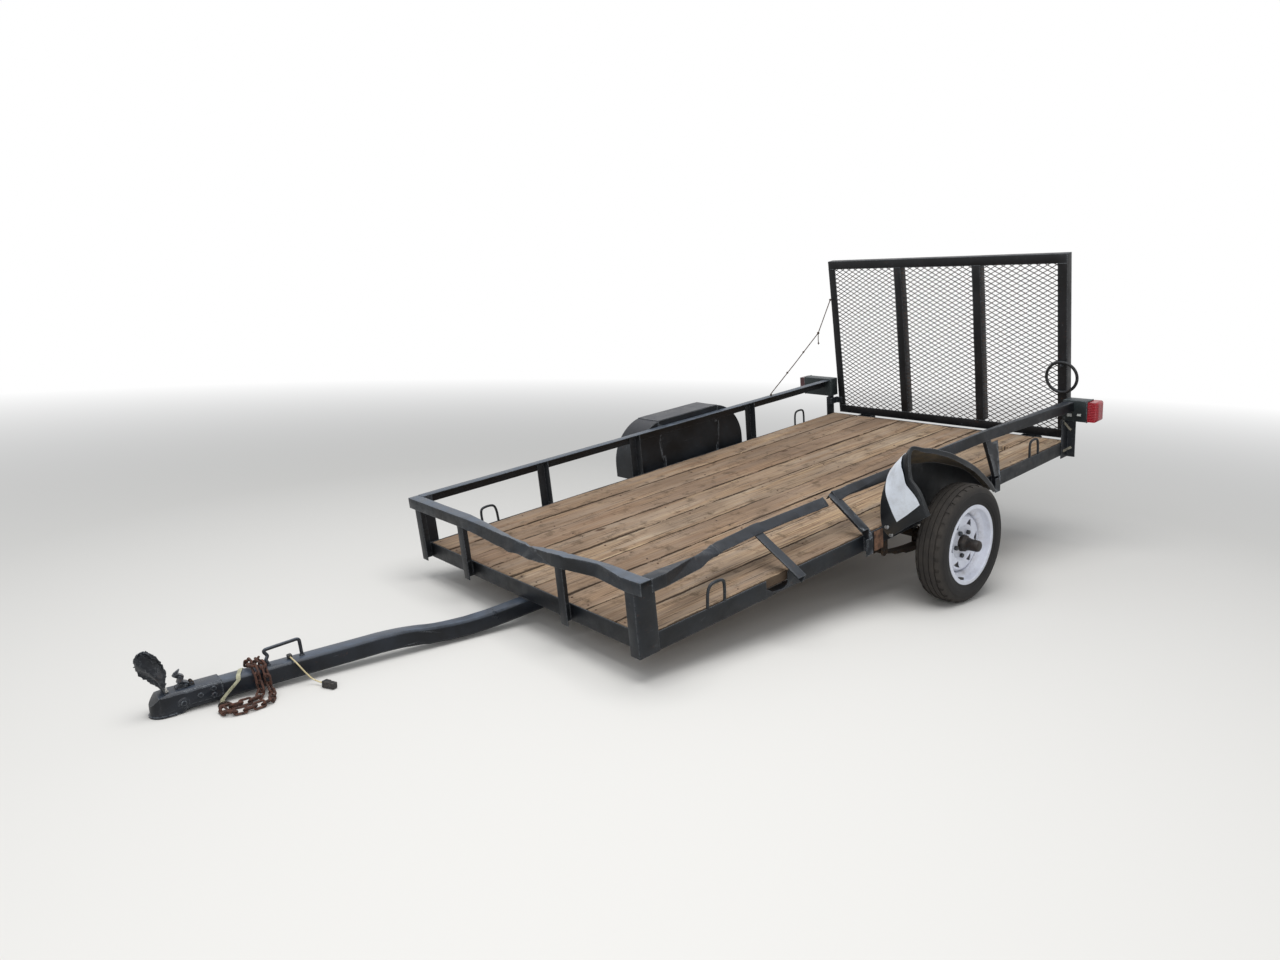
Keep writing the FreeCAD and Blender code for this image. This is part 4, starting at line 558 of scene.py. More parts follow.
for side, label in ((1, "left"), (-1, "right")):
    wheel = side * 946.0
    body = label + "_wheel"

    # tread: columns across the tyre, with the grooves 5 mm wide and 5.5 mm deep
    crown = []
    for across in (-52, -46, -40.5, -40.3, -35.7, -35.5, -25, -15.5, -15.3, -10.7, -10.5, 0, 10.5, 10.7, 15.3, 15.5,
                   25, 35.5, 35.7, 40.3, 40.5, 46, 52):
        groove = any(low < abs(across) < high for low, high in ((10.6, 15.4), (35.6, 40.4)))
        crown.append((across, 268.1 - 6.0 * (abs(across) / 52) ** 3 - (5.5 if groove else 0.0)))
    wall = [(56, 258.5), (60.5, 252), (64, 245), (66.5, 238), (67.2, 237), (68.6, 236.6), (69.4, 228), (70, 218),
            (69.6, 209), (68.4, 207.6), (67.8, 203), (66, 198), (65, 196.6), (63.2, 196), (61.2, 190), (59.4, 185.6),
            (57.6, 181.5), (57.6, 165.4)]
    profile = [(-a, r) for a, r in reversed(wall)] + crown + wall + [(34, 187), (-34, 187)]
    shape = bmesh.new()
    turned(shape, [(wheel + a, r) for a, r in profile], 96, closed=True)
    shoulders = []
    for face in shape.faces:
        spot = face.calc_center_median() - Vector((axle.x, wheel, axle.z))
        radius = math.hypot(spot.x, spot.z)
        step = int(math.degrees(math.atan2(spot.x, spot.z)) % 360 / 3.75)
        if radius > 257 and 41 < abs(spot.y) < 55 and (step + (spot.y > 0)) % 3 == 0:
            shoulders.append(face)
    slots = bmesh.ops.extrude_face_region(shape, geom=shoulders)["geom"]
    for vert in {v for v in slots if isinstance(v, bmesh.types.BMVert)}:
        inward = Vector((axle.x, vert.co.y, axle.z)) - vert.co
        vert.co += inward.normalized() * 4.5
    bmesh.ops.delete(shape, geom=shoulders, context="FACES")
    bmesh.ops.recalc_face_normals(shape, faces=shape.faces)
    fit(label + "_tyre_casing", shape, rubber, body, "tyre_rubber", "tyre_" + label, corner=40)

    # rim with its bead seats and drop well, and the disc with six windows, every second one point outwards
    shape = bmesh.new()
    barrel = ((61, 179), (60, 181), (58.4, 181), (57.8, 178), (57.8, 166), (31, 165), (28, 163), (18, 142), (15, 140),
              (-25, 140), (-29, 142), (-36, 163), (-39, 165), (-57.8, 166), (-57.8, 178), (-58.4, 181), (-60, 181),
              (-61, 179), (-61, 165), (-59, 162), (-37, 162), (-34, 160), (-27, 139), (-24, 137), (14, 137), (17, 139),
              (26, 160), (29, 162), (59, 162.6), (61, 165))
    turned(shape, [(wheel + side * a, r) for a, r in barrel], 96, closed=True)
    disc = bmesh.new()
    pressed = ((-12, 137.3), (-6, 137.3), (3, 133.5), (13, 126), (18.6, 121), (20, 117), (20, 112), (20, 99), (20, 86),
               (19.6, 83), (17.6, 79), (13.8, 73), (12, 69), (12, 50), (12, 42), (13.6, 39), (13.6, 36), (11, 34.4))
    turned(disc, [(wheel + side * a, r) for a, r in pressed], 72)
    holes = []
    for face in disc.faces:
        spot = face.calc_center_median() - Vector((axle.x, wheel, axle.z))
        turn = (math.degrees(math.atan2(spot.x, spot.z)) + 30) % 60
        if 86 < math.hypot(spot.x, spot.z) < 112 and min(turn, 60 - turn) < 15:
            holes.append(face)
    bmesh.ops.delete(disc, geom=holes, context="FACES")
    for vert in disc.verts:
        spot = vert.co - Vector((axle.x, wheel, axle.z))
        radius = math.hypot(spot.x, spot.z)
        turn = math.degrees(math.atan2(spot.x, spot.z)) + 30
        window = round(turn / 60)
        off = turn - window * 60
        if 80 < radius < 115 and abs(off) < 16 and abs(spot.y - side * 20) < 0.1:
            out = window % 2 == 0
            narrow = (radius - 86) / 26 if out else (112 - radius) / 26
            turn = math.radians(window * 60 - 30 + off * (1 - 0.85 * max(0.0, narrow)))
            vert.co.x, vert.co.z = axle.x + radius * math.sin(turn), axle.z + radius * math.cos(turn)
    bmesh.ops.recalc_face_normals(disc, faces=disc.faces)
    facing = sum(face.normal.y * side for face in disc.faces)
    if facing < 0:
        bmesh.ops.reverse_faces(disc, faces=disc.faces)
    bmesh.ops.solidify(disc, geom=disc.faces, thickness=3.6)
    pressed_disc = bpy.data.meshes.new("pressed_disc")
    disc.to_mesh(pressed_disc)
    disc.free()
    shape.from_mesh(pressed_disc)
    bpy.data.meshes.remove(pressed_disc)
    fit(label + "_white_wheel", shape, white_coat, body, "white_wheel_paint", "rim_" + label, corner=36)

    # clip-on balance weight, and the rubber valve beside it
    shape = bmesh.new()
    seat = Matrix.Translation(axle + Vector((0, wheel, 0))) @ Matrix.Rotation(math.radians(160), 4, "Y")
    block(shape, (-19, side * 40 - 5, 151), (19, side * 40 + 5, 161.6), 2.0, 2, seat)
    seat = Matrix.Translation(axle + Vector((0, wheel, 0))) @ Matrix.Rotation(math.radians(80), 4, "Y")
    bmesh.ops.create_cone(shape, segments=12, radius1=6.5, radius2=4.0, depth=12, cap_ends=True,
                          matrix=seat @ Matrix.Translation((0, side * 22, 148)) @ Matrix.Rotation(side * -1.1, 4, "X"))
    bmesh.ops.create_cone(shape, segments=12, radius1=4.0, radius2=3.6, depth=20, cap_ends=True,
                          matrix=seat @ Matrix.Translation((0, side * 33, 142)) @ Matrix.Rotation(side * -1.1, 4, "X"))
    fit(label + "_weight_and_valve", shape, black_pvc, body, "tyre_rubber")

    shape = bmesh.new()
    hub = ((-80, 0), (-80, 34), (-78, 36), (-66, 42), (-2, 42), (-2, 72), (7.6, 72), (7.6, 33.5), (12.6, 33.5),
           (12.6, 38), (16, 38.6), (33, 35.6), (37, 32), (40, 29), (43, 27.6), (44.4, 28.6), (46.4, 28.6), (48, 26.8),
           (62, 26.2), (90, 25.6), (95.5, 23.4), (98.8, 18.6), (100, 11), (100, 0))
    turned(shape, [(wheel + side * a, r) for a, r in hub], 48)
    fit(label + "_hub_and_cap", shape, hub_iron, body, "black_hub", "hub_" + label)

    # five nuts with conical seats and domed ends
    shape = bmesh.new()
    for turn in range(5):
        seat = (Matrix.Translation(axle + Vector((0, wheel, 0)))
                @ Matrix.Rotation(math.radians(side * 97 + 72 * turn), 4, "Y") @ Matrix.Translation((0, side * 12.3, 57))
                @ Matrix.Rotation(side * -math.pi / 2, 4, "X"))
        for sides, low, high, at_low, at_high in ((12, 0, 3, 7.4, 10.4), (6, 3, 12.5, 10.6, 10.6), (12, 12.5, 15.6, 9.2, 5.0)):
            bmesh.ops.create_cone(shape, segments=sides, radius1=at_low, radius2=at_high, depth=high - low, cap_ends=True,
                                  matrix=seat @ Matrix.Translation((0, 0, (low + high) / 2)))
    fit(label + "_nuts", shape, nut_steel, body, "zinc_nuts", "wheel_nuts_" + label, corner=24)


# Fenders: 3 mm sheet steel rolled over the tyre, with a 26 mm lip outside and a whole plate inside, bolted on
# the frame. The right one is sound. The left one's outer edge is wrenched up to a sharp corner at its front.
def eased(rows, steps):
    """Rows of numbers with more of them between, on a smooth line through every row."""
    smooth = []
    for n in range(len(rows) - 1):
        before, here, there, after = (rows[max(0, min(len(rows) - 1, n + k))] for k in (-1, 0, 1, 2))
        for step in range(steps):
            t = step / steps
            smooth.append([0.5 * (2 * b + (c - a) * t + (2 * a - 5 * b + 4 * c - d) * t * t
                                  + (3 * b - a - 3 * c + d) * t ** 3)
                           for a, b, c, d in zip(before, here, there, after)])
    return smooth + [list(rows[-1])]


def drawn_sheet(stations, thickness):
    """Sheet drawn from one open line of points to the next, given its thickness away from its first side."""
    shape = bmesh.new()
    row = [shape.verts.new(point) for point in stations[0]]
    edges = [shape.edges.new(pair) for pair in zip(row, row[1:])]
    cells = []
    for station in stations[1:]:
        last = row
        places = {tuple(vert.co): count for count, vert in enumerate(row)}
        made = bmesh.ops.extrude_edge_only(shape, edges=edges)["geom"]
        row = sorted((v for v in made if isinstance(v, bmesh.types.BMVert)), key=lambda v: places[tuple(v.co)])
        edges = [shape.edges.get(pair) for pair in zip(row, row[1:])]
        cells += zip(last, last[1:], row)
        for vert, point in zip(row, station):
            vert.co = point
    shape.normal_update()
    bmesh.ops.recalc_face_normals(shape, faces=shape.faces)
    shape.normal_update()
    # the largest cell tells the sides apart, because the first one may have no area
    area, count = max(((b.co - a.co).cross(c.co - a.co).length, -count) for count, (a, b, c) in enumerate(cells))
    a, b, c = cells[-count]
    face = next(face for face in a.link_faces if b in face.verts and c in face.verts)
    if face.normal.dot((b.co - a.co).cross(c.co - a.co)) * thickness < 0:
        bmesh.ops.reverse_faces(shape, faces=shape.faces)
        shape.normal_update()
    # every point moves by the sheet's thickness and no more, since an even wall would run out to a spike
    # where the sheet is folded sharply
    inward = {tuple(vert.co): vert.normal * -abs(thickness) for vert in shape.verts}
    made = bmesh.ops.extrude_face_region(shape, geom=shape.faces[:], use_keep_orig=True)["geom"]
    for vert in made:
        if isinstance(vert, bmesh.types.BMVert):
            vert.co += inward[tuple(vert.co)]
    shape.normal_update()
    bmesh.ops.recalc_face_normals(shape, faces=shape.faces)
    return shape


def fender_line(row, side, base):
    """Cross line of the fender, from its plate's foot over the roof to its lip."""
    inner_x, inner_z, outer_x, outer_z, reach, angle, foot_x, foot_z = row
    out = Vector((math.cos(math.radians(angle)), 0, math.sin(math.radians(angle))))
    corner = Vector((axle.x + inner_x, side * base, axle.z + inner_z))
    foot = Vector((axle.x + foot_x, side * base, axle.z + foot_z))
    edge = Vector((axle.x + outer_x, side * (base + reach), axle.z + outer_z))
    over = (edge - corner).normalized()
    down = (foot - corner).normalized()
    line = [foot.lerp(corner + down * 4, k / 5) for k in range(6)] + [corner + over * 4]
    line += [corner.lerp(edge, k / 8) for k in range(1, 8)]
    return line + [edge - over * 3.4 - out * 0.4, edge - out * 3.6, edge - out * 14, edge - out * 26]


fender_enamel = black_enamel("black_enamel_on_fenders", faded="#1f2328", dust="#55565d", dust_and_sheen_share=0.55, rust_share=0.35,
                             gloss=0.32, matt=0.55, mud=0.8)
# columns: inner x, z and outer x, z from the axle, reach, lip angle, inner plate's lower x, z
crushed = ((302, 80, 284, 206, 177, 0, 290, 80), (352, 140, 330, 306, 170, 6, 268, 84),
           (366, 211, 352, 355, 161, 14, 240, 84), (352, 295, 369, 404, 149, 28, 205, 84),
           (292, 372, 359, 520, 147, 48, 160, 84), (215, 398, 270, 500, 154, 72, 110, 84),
           (110, 371, 170, 470, 163, 84, 50, 84), (-30, 345, 40, 415, 167, 96, -50, 84),
           (-160, 302, -90, 345, 164, 108, -160, 84), (-300, 245, -200, 268, 159, 122, -290, 84),
           (-420, 162, -280, 202, 155, 145, -410, 84), (-496, 93, -328, 154, 152, 180, -484, 93))
stations = eased(crushed, 6)


def crumpled(place):
    free = min(1.0, max(0.0, (place.y - 791) / 40))
    return place + (noise.noise_vector(place / 95) * 3.5 + noise.noise_vector(place / 36) * 1.0) * free


shape = drawn_sheet([fender_line(row, 1, 788.1) for row in stations], 3.0)
for vert in shape.verts:
    vert.co = crumpled(vert.co)
fit("left_fender_sheet", shape, fender_enamel, "chassis", "black_paint", "fender_left")

# Blank plate: 305 by 152 mm of 1 mm aluminium faced with white sheeting, screwed on the left fender's front
# and bent with it over the crease. Nothing is written on it.
white_sheeting, place = new_finish("white_reflective_sheeting")
film = add(white_sheeting, "TexNoise", {"Vector": place, "Scale": 30.0, "Detail": 8.0, "Roughness": 0.7})
share = add(white_sheeting, "ValToRGB", {0: film}, stops=((0.45, 0.0), (0.75, 0.3)))
colour = add(white_sheeting, "Mix", {0: share, 6: "#dfe6f0", 7: "#8f8c84"}, 2, data_type="RGBA")
bump = add(white_sheeting, "Bump", {"Height": film, "Distance": 0.0004})
shader = add(white_sheeting, "BsdfPrincipled", {"Base Color": colour, "Roughness": 0.35, "Coat Weight": 0.3, "Normal": bump})
add(white_sheeting, "OutputMaterial", {"Surface": shader})
# columns: station, share of the way across at the plate's inner and outer edge
edges = eased(((3.0, 0.36, 0.95), (4.0, 0.36, 0.95), (10.0, 0.34, 0.90), (15.0, 0.26, 0.87), (19.0, 0.16, 0.85),
               (22.0, 0.1, 0.72), (28.0, 0.05, 0.62)), 3)
lines = []
for at, inner_share, outer_share in edges[3:]:
    whole_part = min(len(stations) - 2, int(at))
    row = [a + (b - a) * (at - whole_part) for a, b in zip(stations[whole_part], stations[whole_part + 1])]
    inner_x, inner_z, outer_x, outer_z, reach, angle = row[:6]
    corner = Vector((axle.x + inner_x, 788.1, axle.z + inner_z))
    edge = Vector((axle.x + outer_x, 788.1 + reach, axle.z + outer_z))
    across = (edge - corner).normalized()
    proud = Vector((math.cos(math.radians(angle)), 0, math.sin(math.radians(angle))))
    proud = (proud - across * proud.dot(across)).normalized() * 5.5
    lines.append([crumpled(corner.lerp(edge, inner_share + (outer_share - inner_share) * k / 8)) + proud for k in range(9)])
fit("blank_plate", drawn_sheet(lines, -1.0), white_sheeting, "chassis", "black_paint")

# Bolts and torn bracket at the left fender's foot: two new plated bolts through the sheet, and a strip of plate
# on the frame that has lost its enamel and rusted brown.
bright_zinc = rusted_steel("bright_zinc_plated_steel", "#c9cdd2", "#8d8a82", metallic=0.7, roughness=0.35, scale=120.0)
shape = bmesh.new()
for at, aside in ((5, 0.1), (1, 0.07)):
    inner_x, inner_z, outer_x, outer_z, reach, angle = stations[at][:6]
    corner = Vector((axle.x + inner_x, 788.1, axle.z + inner_z))
    edge = Vector((axle.x + outer_x, 788.1 + reach, axle.z + outer_z))
    across = (edge - corner).normalized()
    face = Vector((math.cos(math.radians(angle)), 0, math.sin(math.radians(angle))))
    face = (face - across * face.dot(across)).normalized()
    seat = Matrix.Translation(crumpled(corner.lerp(edge, aside))) @ face.to_track_quat("Z", "X").to_matrix().to_4x4()
    for sides, low, high, wide in ((20, 0, 2, 11), (6, 2, 8, 8.5)):
        bmesh.ops.create_cone(shape, segments=sides, radius1=wide, radius2=wide * 0.94, depth=high - low, cap_ends=True,
                              matrix=seat @ Matrix.Translation((0, 0, (low + high) / 2)))
fit("fender_bolts", shape, bright_zinc, "chassis", "zinc_nuts")
bare_bracket = rusted_steel("rusted_bracket_steel", "#4b382d", "#7d5d49", metallic=0.1, roughness=0.8, scale=45.0)
shape = bmesh.new()
block(shape, (1700, 787.9, -22), (1762, 791.4, 66), 1.2, 2)
bmesh.ops.subdivide_edges(shape, edges=shape.edges[:], cuts=3, use_grid_fill=True)
for vert in shape.verts:
    vert.co += noise.noise_vector(vert.co / 26) * 1.4
fit("torn_bracket", shape, bare_bracket, "chassis", "rusty_steel")

whole = [(-496, 93, -496, 93, 179.2, 180, -484, 93), (-496, 120, -496, 120, 179.2, 180, -472, 93)]
for middle, turns in ((-256, range(180, 89, -10)), (136, range(90, -1, -10))):
    for turn in turns:
        x = middle + 240 * math.cos(math.radians(turn))
        z = 163 + 240 * math.sin(math.radians(turn))
        whole.append((x, z, x, z, 179.2, turn, -60 + (x + 60) * 0.93, 93))
whole += [(376, 120, 376, 120, 179.2, 0, 352, 93), (376, 93, 376, 93, 179.2, 0, 364, 93)]
shape = drawn_sheet([fender_line(row, -1, 836.8) for row in eased(whole, 2)], 3.0)
for vert in shape.verts:
    free = min(1.0, max(0.0, (abs(vert.co.y) - 840) / 40))
    vert.co += noise.noise_vector(vert.co / 160) * 2.0 * free
fit("right_fender_sheet", shape, fender_enamel, "chassis", "black_paint", "fender_right")

# Drawbar: one 65 mm square tube, pressed to a joggle ahead of the frame and enamelled black, glossier than
# the frame where hands and rain have kept the dust off it. The strong blue-grey on its top is a painted sheen of sky
# light.
drawbar_enamel = black_enamel("black_enamel_on_drawbar", paint="#0c0f14", faded="#1b2028", dust="#5d6878",
                              dust_and_sheen_share=0.7, rust_share=0.35, gloss=0.24, matt=0.5)
fit("drawbar_tube", rolled("tongue", 2.6, 90, 1.0, (((3480, 10, 30), 160, 5),)), drawbar_enamel, "chassis",
    "black_paint", "tongue")

# Coupler: 4 mm sheet pressed to a channel over the tube's end, run out into a round nose with the ball's
# pocket in it, riveted and welded on. A boss on each side carries the pocket's pin.
slope = math.atan2(74, 745)
at_coupler = Matrix.Translation((4330, 0, 141)) @ Matrix.Rotation(-slope, 4, "Y")
coupler_enamel = black_enamel("black_enamel_on_coupler", paint="#0d1015", faded="#1a1f27", dust="#4f5764",
                              dust_and_sheen_share=0.55, rust_share=0.6, gloss=0.26, matt=0.5)
shape = rolled("coupler", 1.8, 500, 0.0)
for side in (-1, 1):
    turn = Matrix.Rotation(side * -math.pi / 2, 4, "X")
    for x, z, radius, height in ((7, -36, 17, 2.4), (7, -36, 9, 4.6), (-84, -14, 8, 3.2), (-84, -36, 8, 3.2),
                                 (-44, -25, 8, 3.2)):
        bmesh.ops.create_cone(shape, segments=24, radius1=radius, radius2=radius * 0.8, depth=height, cap_ends=True,
                              matrix=at_coupler @ Matrix.Translation((x, side * (36.6 + height / 2), z)) @ turn)
fit("pressed_coupler", shape, coupler_enamel, "chassis", "coupler_paint", "coupler")
along = [bead((-111, y, 2.5), (-111, y + 62, 2.5), at_coupler) for y in (-31,)]
along += [bead((-111, side * 35, -2), (-111, side * 35, -45), at_coupler) for side in (-1, 1)]
round_bar("coupler_beads", along, 2.8, coupler_enamel, "chassis", "coupler_paint", smooth=2, sides=1)

# Latch: forged lever on a cross pin with its return spring, bent over and clogged with grease.
shape = rolled("coupler_latch", 1.6, 12, 1.6, (((4330, 0, 175), 60, 3),))
for x, z, radius, half in ((-10, 12, 4.5, 19), (4, 42, 3.5, 15)):
    bmesh.ops.create_cone(shape, segments=16, radius1=radius, radius2=radius, depth=2 * half, cap_ends=True,
                          matrix=at_coupler @ Matrix.Translation((x, 0, z)) @ Matrix.Rotation(math.pi / 2, 4, "X"))
fit("bent_latch", shape, coupler_enamel, "chassis", "coupler_paint", "coupler_latch")
coil = []
for step in range(61):
    turn = math.radians(step * 36)
    coil.append(tuple(at_coupler @ Vector((-28 + 5.5 * math.cos(turn), -12 + step * 0.4, 14 + 5.5 * math.sin(turn)))))
round_bar("latch_spring", [coil], 1.3, axle_steel, "chassis", "coupler_paint", smooth=2, sides=1)

# Torn crown: the coupler's top sheet, ripped forward and up so that it stands crumpled over the nose, its
# edges ragged and a bright sliver left where it tore.
# columns: forward and up from the crown's edge, low and high edge across, twist in degrees
torn = ((0, -2.3, -24, 26, 0), (8, 26, -32, 34, 16), (19, 58, -44, 38, 40), (26, 90, -46, 36, 58), (34, 124, -36, 24, 70),
        (36, 146, -20, 4, 76))
lines = []
for x, z, low, high, twist in eased(torn, 9):
    crest = []
    free = min(1.0, max(0.0, z) / 30)
    for k in range(17):
        across = low + (high - low) * k / 16
        fold = 6 * math.sin(k / 16 * 8 + z / 19) * free
        ragged = 7.0 if k in (0, 16) else 2.0
        along = across * math.sin(math.radians(twist))
        point = Vector((54.8 + x - along + fold * math.cos(math.radians(twist)), across * math.cos(math.radians(twist))
                        + fold * math.sin(math.radians(twist)), 4.3 + z + along * 0.25))
        rough = noise.noise_vector(Vector((k * 0.8, z / 13, 4)))
        crest.append(point + Vector((3 * rough.x, 2 * rough.y, 4 * rough.z)) * free
                     + Vector((-0.8, 0.2, 0.5)) * ragged * noise.noise(Vector((z / 6, k * 2.0, 9))) * free)
    lines.append([at_coupler @ point for point in crest])
fit("torn_crown", drawn_sheet(lines, 2.2), coupler_enamel, "chassis", "coupler_paint", "coupler_torn_lip", corner=28)
bright, place = new_finish("fresh_torn_steel")
scratched = add(bright, "TexNoise", {"Vector": add(bright, "Mapping", {"Vector": place, "Scale": (1.0, 0.1, 1.0)}),
                                     "Scale": 300.0, "Detail": 4.0})
colour = add(bright, "ValToRGB", {0: scratched}, stops=((0.35, "#7b7872"), (0.65, "#c9c8c4")))
shader = add(bright, "BsdfPrincipled", {"Base Color": colour, "Roughness": 0.4, "Metallic": 0.8,
                                        "Normal": add(bright, "Bump", {"Height": scratched, "Distance": 0.0003})})
add(bright, "OutputMaterial", {"Surface": shader})
lines = [[at_coupler @ Vector((50 - 3 * k + 1.5 * (k % 2), y, 5.2 + 1.6 * k + 1.2 * math.sin(y / 3 + k)))
          for y in range(-20, 22, 4)] for k in range(4)]
fit("torn_sliver", drawn_sheet(lines, 1.2), bright, "chassis", "coupler_paint")

# Handle: 12 mm round bar bent to a bail and welded on the drawbar, its front leg kinked where it was hit.
def drawbar_top(x):
    rows = ((1560, 0), (3220, 0), (3400, 17), (3585, 67), (4330, 141))
    for (xa, za), (xb, zb) in zip(rows, rows[1:]):
        if x <= xb:
            return za + (zb - za) * (x - xa) / (xb - xa)
    return 141


bail = [(57, 9, 0), (57, 9, 10), (60, 4, 17), (56, 1, 22), (50, -3, 28), (52, -5, 34), (57, -7, 41), (58, -7, 47),
        (52, -7, 51), (42, -7, 52), (-44, -4, 60), (-54, -4, 61), (-60, -2, 58), (-61, -2, 48), (-60, -2, 0)]
round_bar("bail_handle", [[(4008 + x, y, drawbar_top(4008 + x) + 1.2 + z) for x, y, z in bail]], 6, drawbar_enamel,
          "chassis", "black_paint", "tongue_handle", smooth=8)
shape = bmesh.new()
for x, y in ((4065, 9), (3948, -2)):
    bmesh.ops.create_cone(shape, segments=16, radius1=10.5, radius2=6.5, depth=6, cap_ends=True,
                          matrix=Matrix.Translation((x, y, drawbar_top(x) + 3)) @ Matrix.Rotation(-slope, 4, "Y"))
fit("handle_weld_rings", shape, drawbar_enamel, "chassis", "black_paint")


# Safety chain: 8 mm proof coil, welded links 46 by 28 mm, thrown over the drawbar and piled on the ground.
# It was never galvanised and has rusted red-brown.
def joints_along(points, step):
    """Points a fixed step apart along straight runs, where each link hooks into the next."""
    points = [Vector(p) for p in points]
    placed = [points[0]]
    run = 0
    while run < len(points) - 1:
        a, b = points[run], points[run + 1]
        if (b - placed[-1]).length < step:
            run += 1
            continue
        along = (b - a).normalized()
        middle = (placed[-1] - a).dot(along)
        off = (placed[-1] - a - along * middle).length
        placed.append(a + along * (middle + math.sqrt(step ** 2 - off ** 2)))
    return placed


over = ((-49.5, -58), (-52.5, -5), (-30.5, 21), (0, 16), (30.5, 21), (52.5, -5), (49.5, -50))
heap = ((2, 68, 20), (0, 92, 13.5), (26, 138, 13.5), (80, 150, 13.5), (128, 156, 13.5), (164, 134, 13.5),
        (166, 104, 13.5), (128, 100, 13.5), (88, 98, 13.5), (52, 94, 13.5), (30, 70, 20))
route = [(4087, y, drawbar_top(4087) + z) for y, z in over]
route += [(4087 + x, y, floor_below(4087 + x) + z) for x, y, z in heap]
route += [(4115, y, drawbar_top(4115) + z) for y, z in reversed(over)]
hooked = joints_along(route, 30.3)
links = []
flat = Vector((0, -1, 0))
for count, (a, b) in enumerate(zip(hooked, hooked[1:])):
    along = (b - a).normalized()
    flat = (flat - along * flat.dot(along)).normalized()
    rolled_flat = Matrix.Rotation(math.radians(45 + 90 * (count % 2)), 3, along) @ flat
    across = rolled_flat.cross(along).normalized()
    links.append([(a + b) / 2 + along * u + across * v for u, v in
                  ((19.4, 6), (15, 10.4), (0, 9.6), (-15, 10.4), (-19.4, 6), (-19.4, -6), (-15, -10.4), (0, -9.6),
                   (15, -10.4), (19.4, -6))])
chain_steel = rusted_steel("rusted_chain_steel", "#291c19", "#5e3b2d", metallic=0.1, roughness=0.82, scale=90.0)
round_bar("proof_coil_chain", links, 4, chain_steel, "chassis", "rusty_steel", "safety_chain", closed=True, smooth=4,
          sides=3)


# Strap: pale polyester webbing 12 mm wide, laid over the drawbar and down to a dark wire ring on the ground.
webbing, place = new_finish("sun_bleached_webbing")
# the weave's 1.2 mm ribs are drawn 3 mm coarse, so that they show
ribs = add(webbing, "TexWave", {"Vector": place, "Scale": 105.0, "Distortion": 1.5}, "Fac", bands_direction="Z")
stain = add(webbing, "TexNoise", {"Vector": place, "Scale": 60.0, "Detail": 7.0, "Roughness": 0.7})
share = add(webbing, "ValToRGB", {0: stain}, stops=((0.42, 0.0), (0.7, 0.8)))
colour = add(webbing, "Mix", {0: share, 6: "#b5b398", 7: "#77745a"}, 2, data_type="RGBA")
bump = add(webbing, "Bump", {"Height": ribs, "Distance": 0.0006})
shader = add(webbing, "BsdfPrincipled", {"Base Color": colour, "Roughness": 0.85, "Sheen Weight": 0.2, "Normal": bump})
add(webbing, "OutputMaterial", {"Surface": shader})
fall = ((-10, -30.5, -7), (0, -23.5, 0.4), (11, 0, 0.6), (21, 22.5, 0.6), (25.5, 31.5, -4), (29, 33.2, -13), (56, 33.2, -36),
        (84, 33.6, -60), (88, 36.8, -69))
lines = []
for x, y, z in eased(fall, 5):
    x += 4144
    top = drawbar_top(x)
    lines.append([Vector((x + u, y + (0.5 if abs(u) < 5 else 0), top + z + (0.5 if abs(u) < 5 else 0) + u * math.tan(slope)))
                  for u in (-6, -4.6, 0, 4.6, 6)])
fit("webbing_strap", drawn_sheet(lines, -2.4), webbing, "chassis", "pale_webbing", "drawbar_strap", corner=60)
hoop = [(4232 + 15.6 * math.cos(a) * 1.1, 53.3 + 15.6 * math.sin(a), floor_below(4232) + 4.6 + 16 * math.cos(a) * math.sin(pitch))
        for a in [math.tau * k / 10 for k in range(10)]]
low = drawbar_top(4232) - 69
catch = [(4228, 35, low + 4), (4236, 35, low + 4), (4238, 38, low - 6), (4236, 42, floor_below(4236) + 5.4),
         (4228, 42, floor_below(4228) + 5.4), (4226, 38, low - 6)]
round_bar("strap_wire_ring", [hoop, catch], 2.8, axle_steel, "chassis", "dirty_steel", "strap_ring", closed=True)

# Gate: ramp of 50 mm angle with two angle uprights, hinged on the rear angle, and leaning 4.5 degrees on its
# stops. A ring of 16 mm bar hangs on a peg on its left upright.
fit("gate_angle_frame", rolled("gate_frame", 1.6, 110, 0.4), gate_enamel, "gate", "black_paint", "gate_frame")
fit("gate_uprights", rolled("gate_bars", 1.6, 110, 1.4), gate_enamel, "gate", "black_paint", "gate_bars")
fit("hinge_pins_and_lugs", rolled("hinge_lugs", 0.8, 400, 0.0), frame_enamel, "chassis", "black_paint", "hinge_lugs",
    corner=24)
ring = [tuple(lean @ Vector((-31.7 + 1.2 * math.cos(2 * a), 743 + 84.5 * math.sin(a), 419 + 84.5 * math.cos(a))))
        for a in [math.tau * k / 16 for k in range(16)]]
round_bar("hung_ring", [ring], 8, gate_enamel, "gate", "black_paint", "gate_ring", closed=True, smooth=6)

# Gate mesh: raised expanded metal, diamonds 49 by 27 mm slit and pulled from one sheet, so that every strand
# stands tilted to the sheet's plane. The enamel has gone thin on it and lets brown rust through.
shape = bmesh.new()
bmesh.ops.create_grid(shape, x_segments=72, y_segments=72, size=36.0,
                      matrix=Matrix(((0, 0, -1, -45.6), (49 / math.sqrt(2), 0, 0, 0), (0, 27 / math.sqrt(2), 0, 573), (0, 0, 0, 1)))
                      @ Matrix.Rotation(math.radians(45), 4, "Z"))
for spot, across in (((0, -763, 0), (0, -1, 0)), ((0, 763, 0), (0, 1, 0)), ((0, 0, 76), (0, 0, -1)), ((0, 0, 1070), (0, 0, 1))):
    bmesh.ops.bisect_plane(shape, geom=shape.verts[:] + shape.edges[:] + shape.faces[:], dist=0.01, plane_co=spot,
                           plane_no=across, clear_outer=True)
small = [face for face in shape.faces if face.calc_area() < 60]
bmesh.ops.delete(shape, geom=small, context="FACES")
diamonds = shape.faces[:]
bmesh.ops.inset_individual(shape, faces=diamonds, thickness=2.0, depth=0.0, use_even_offset=True)
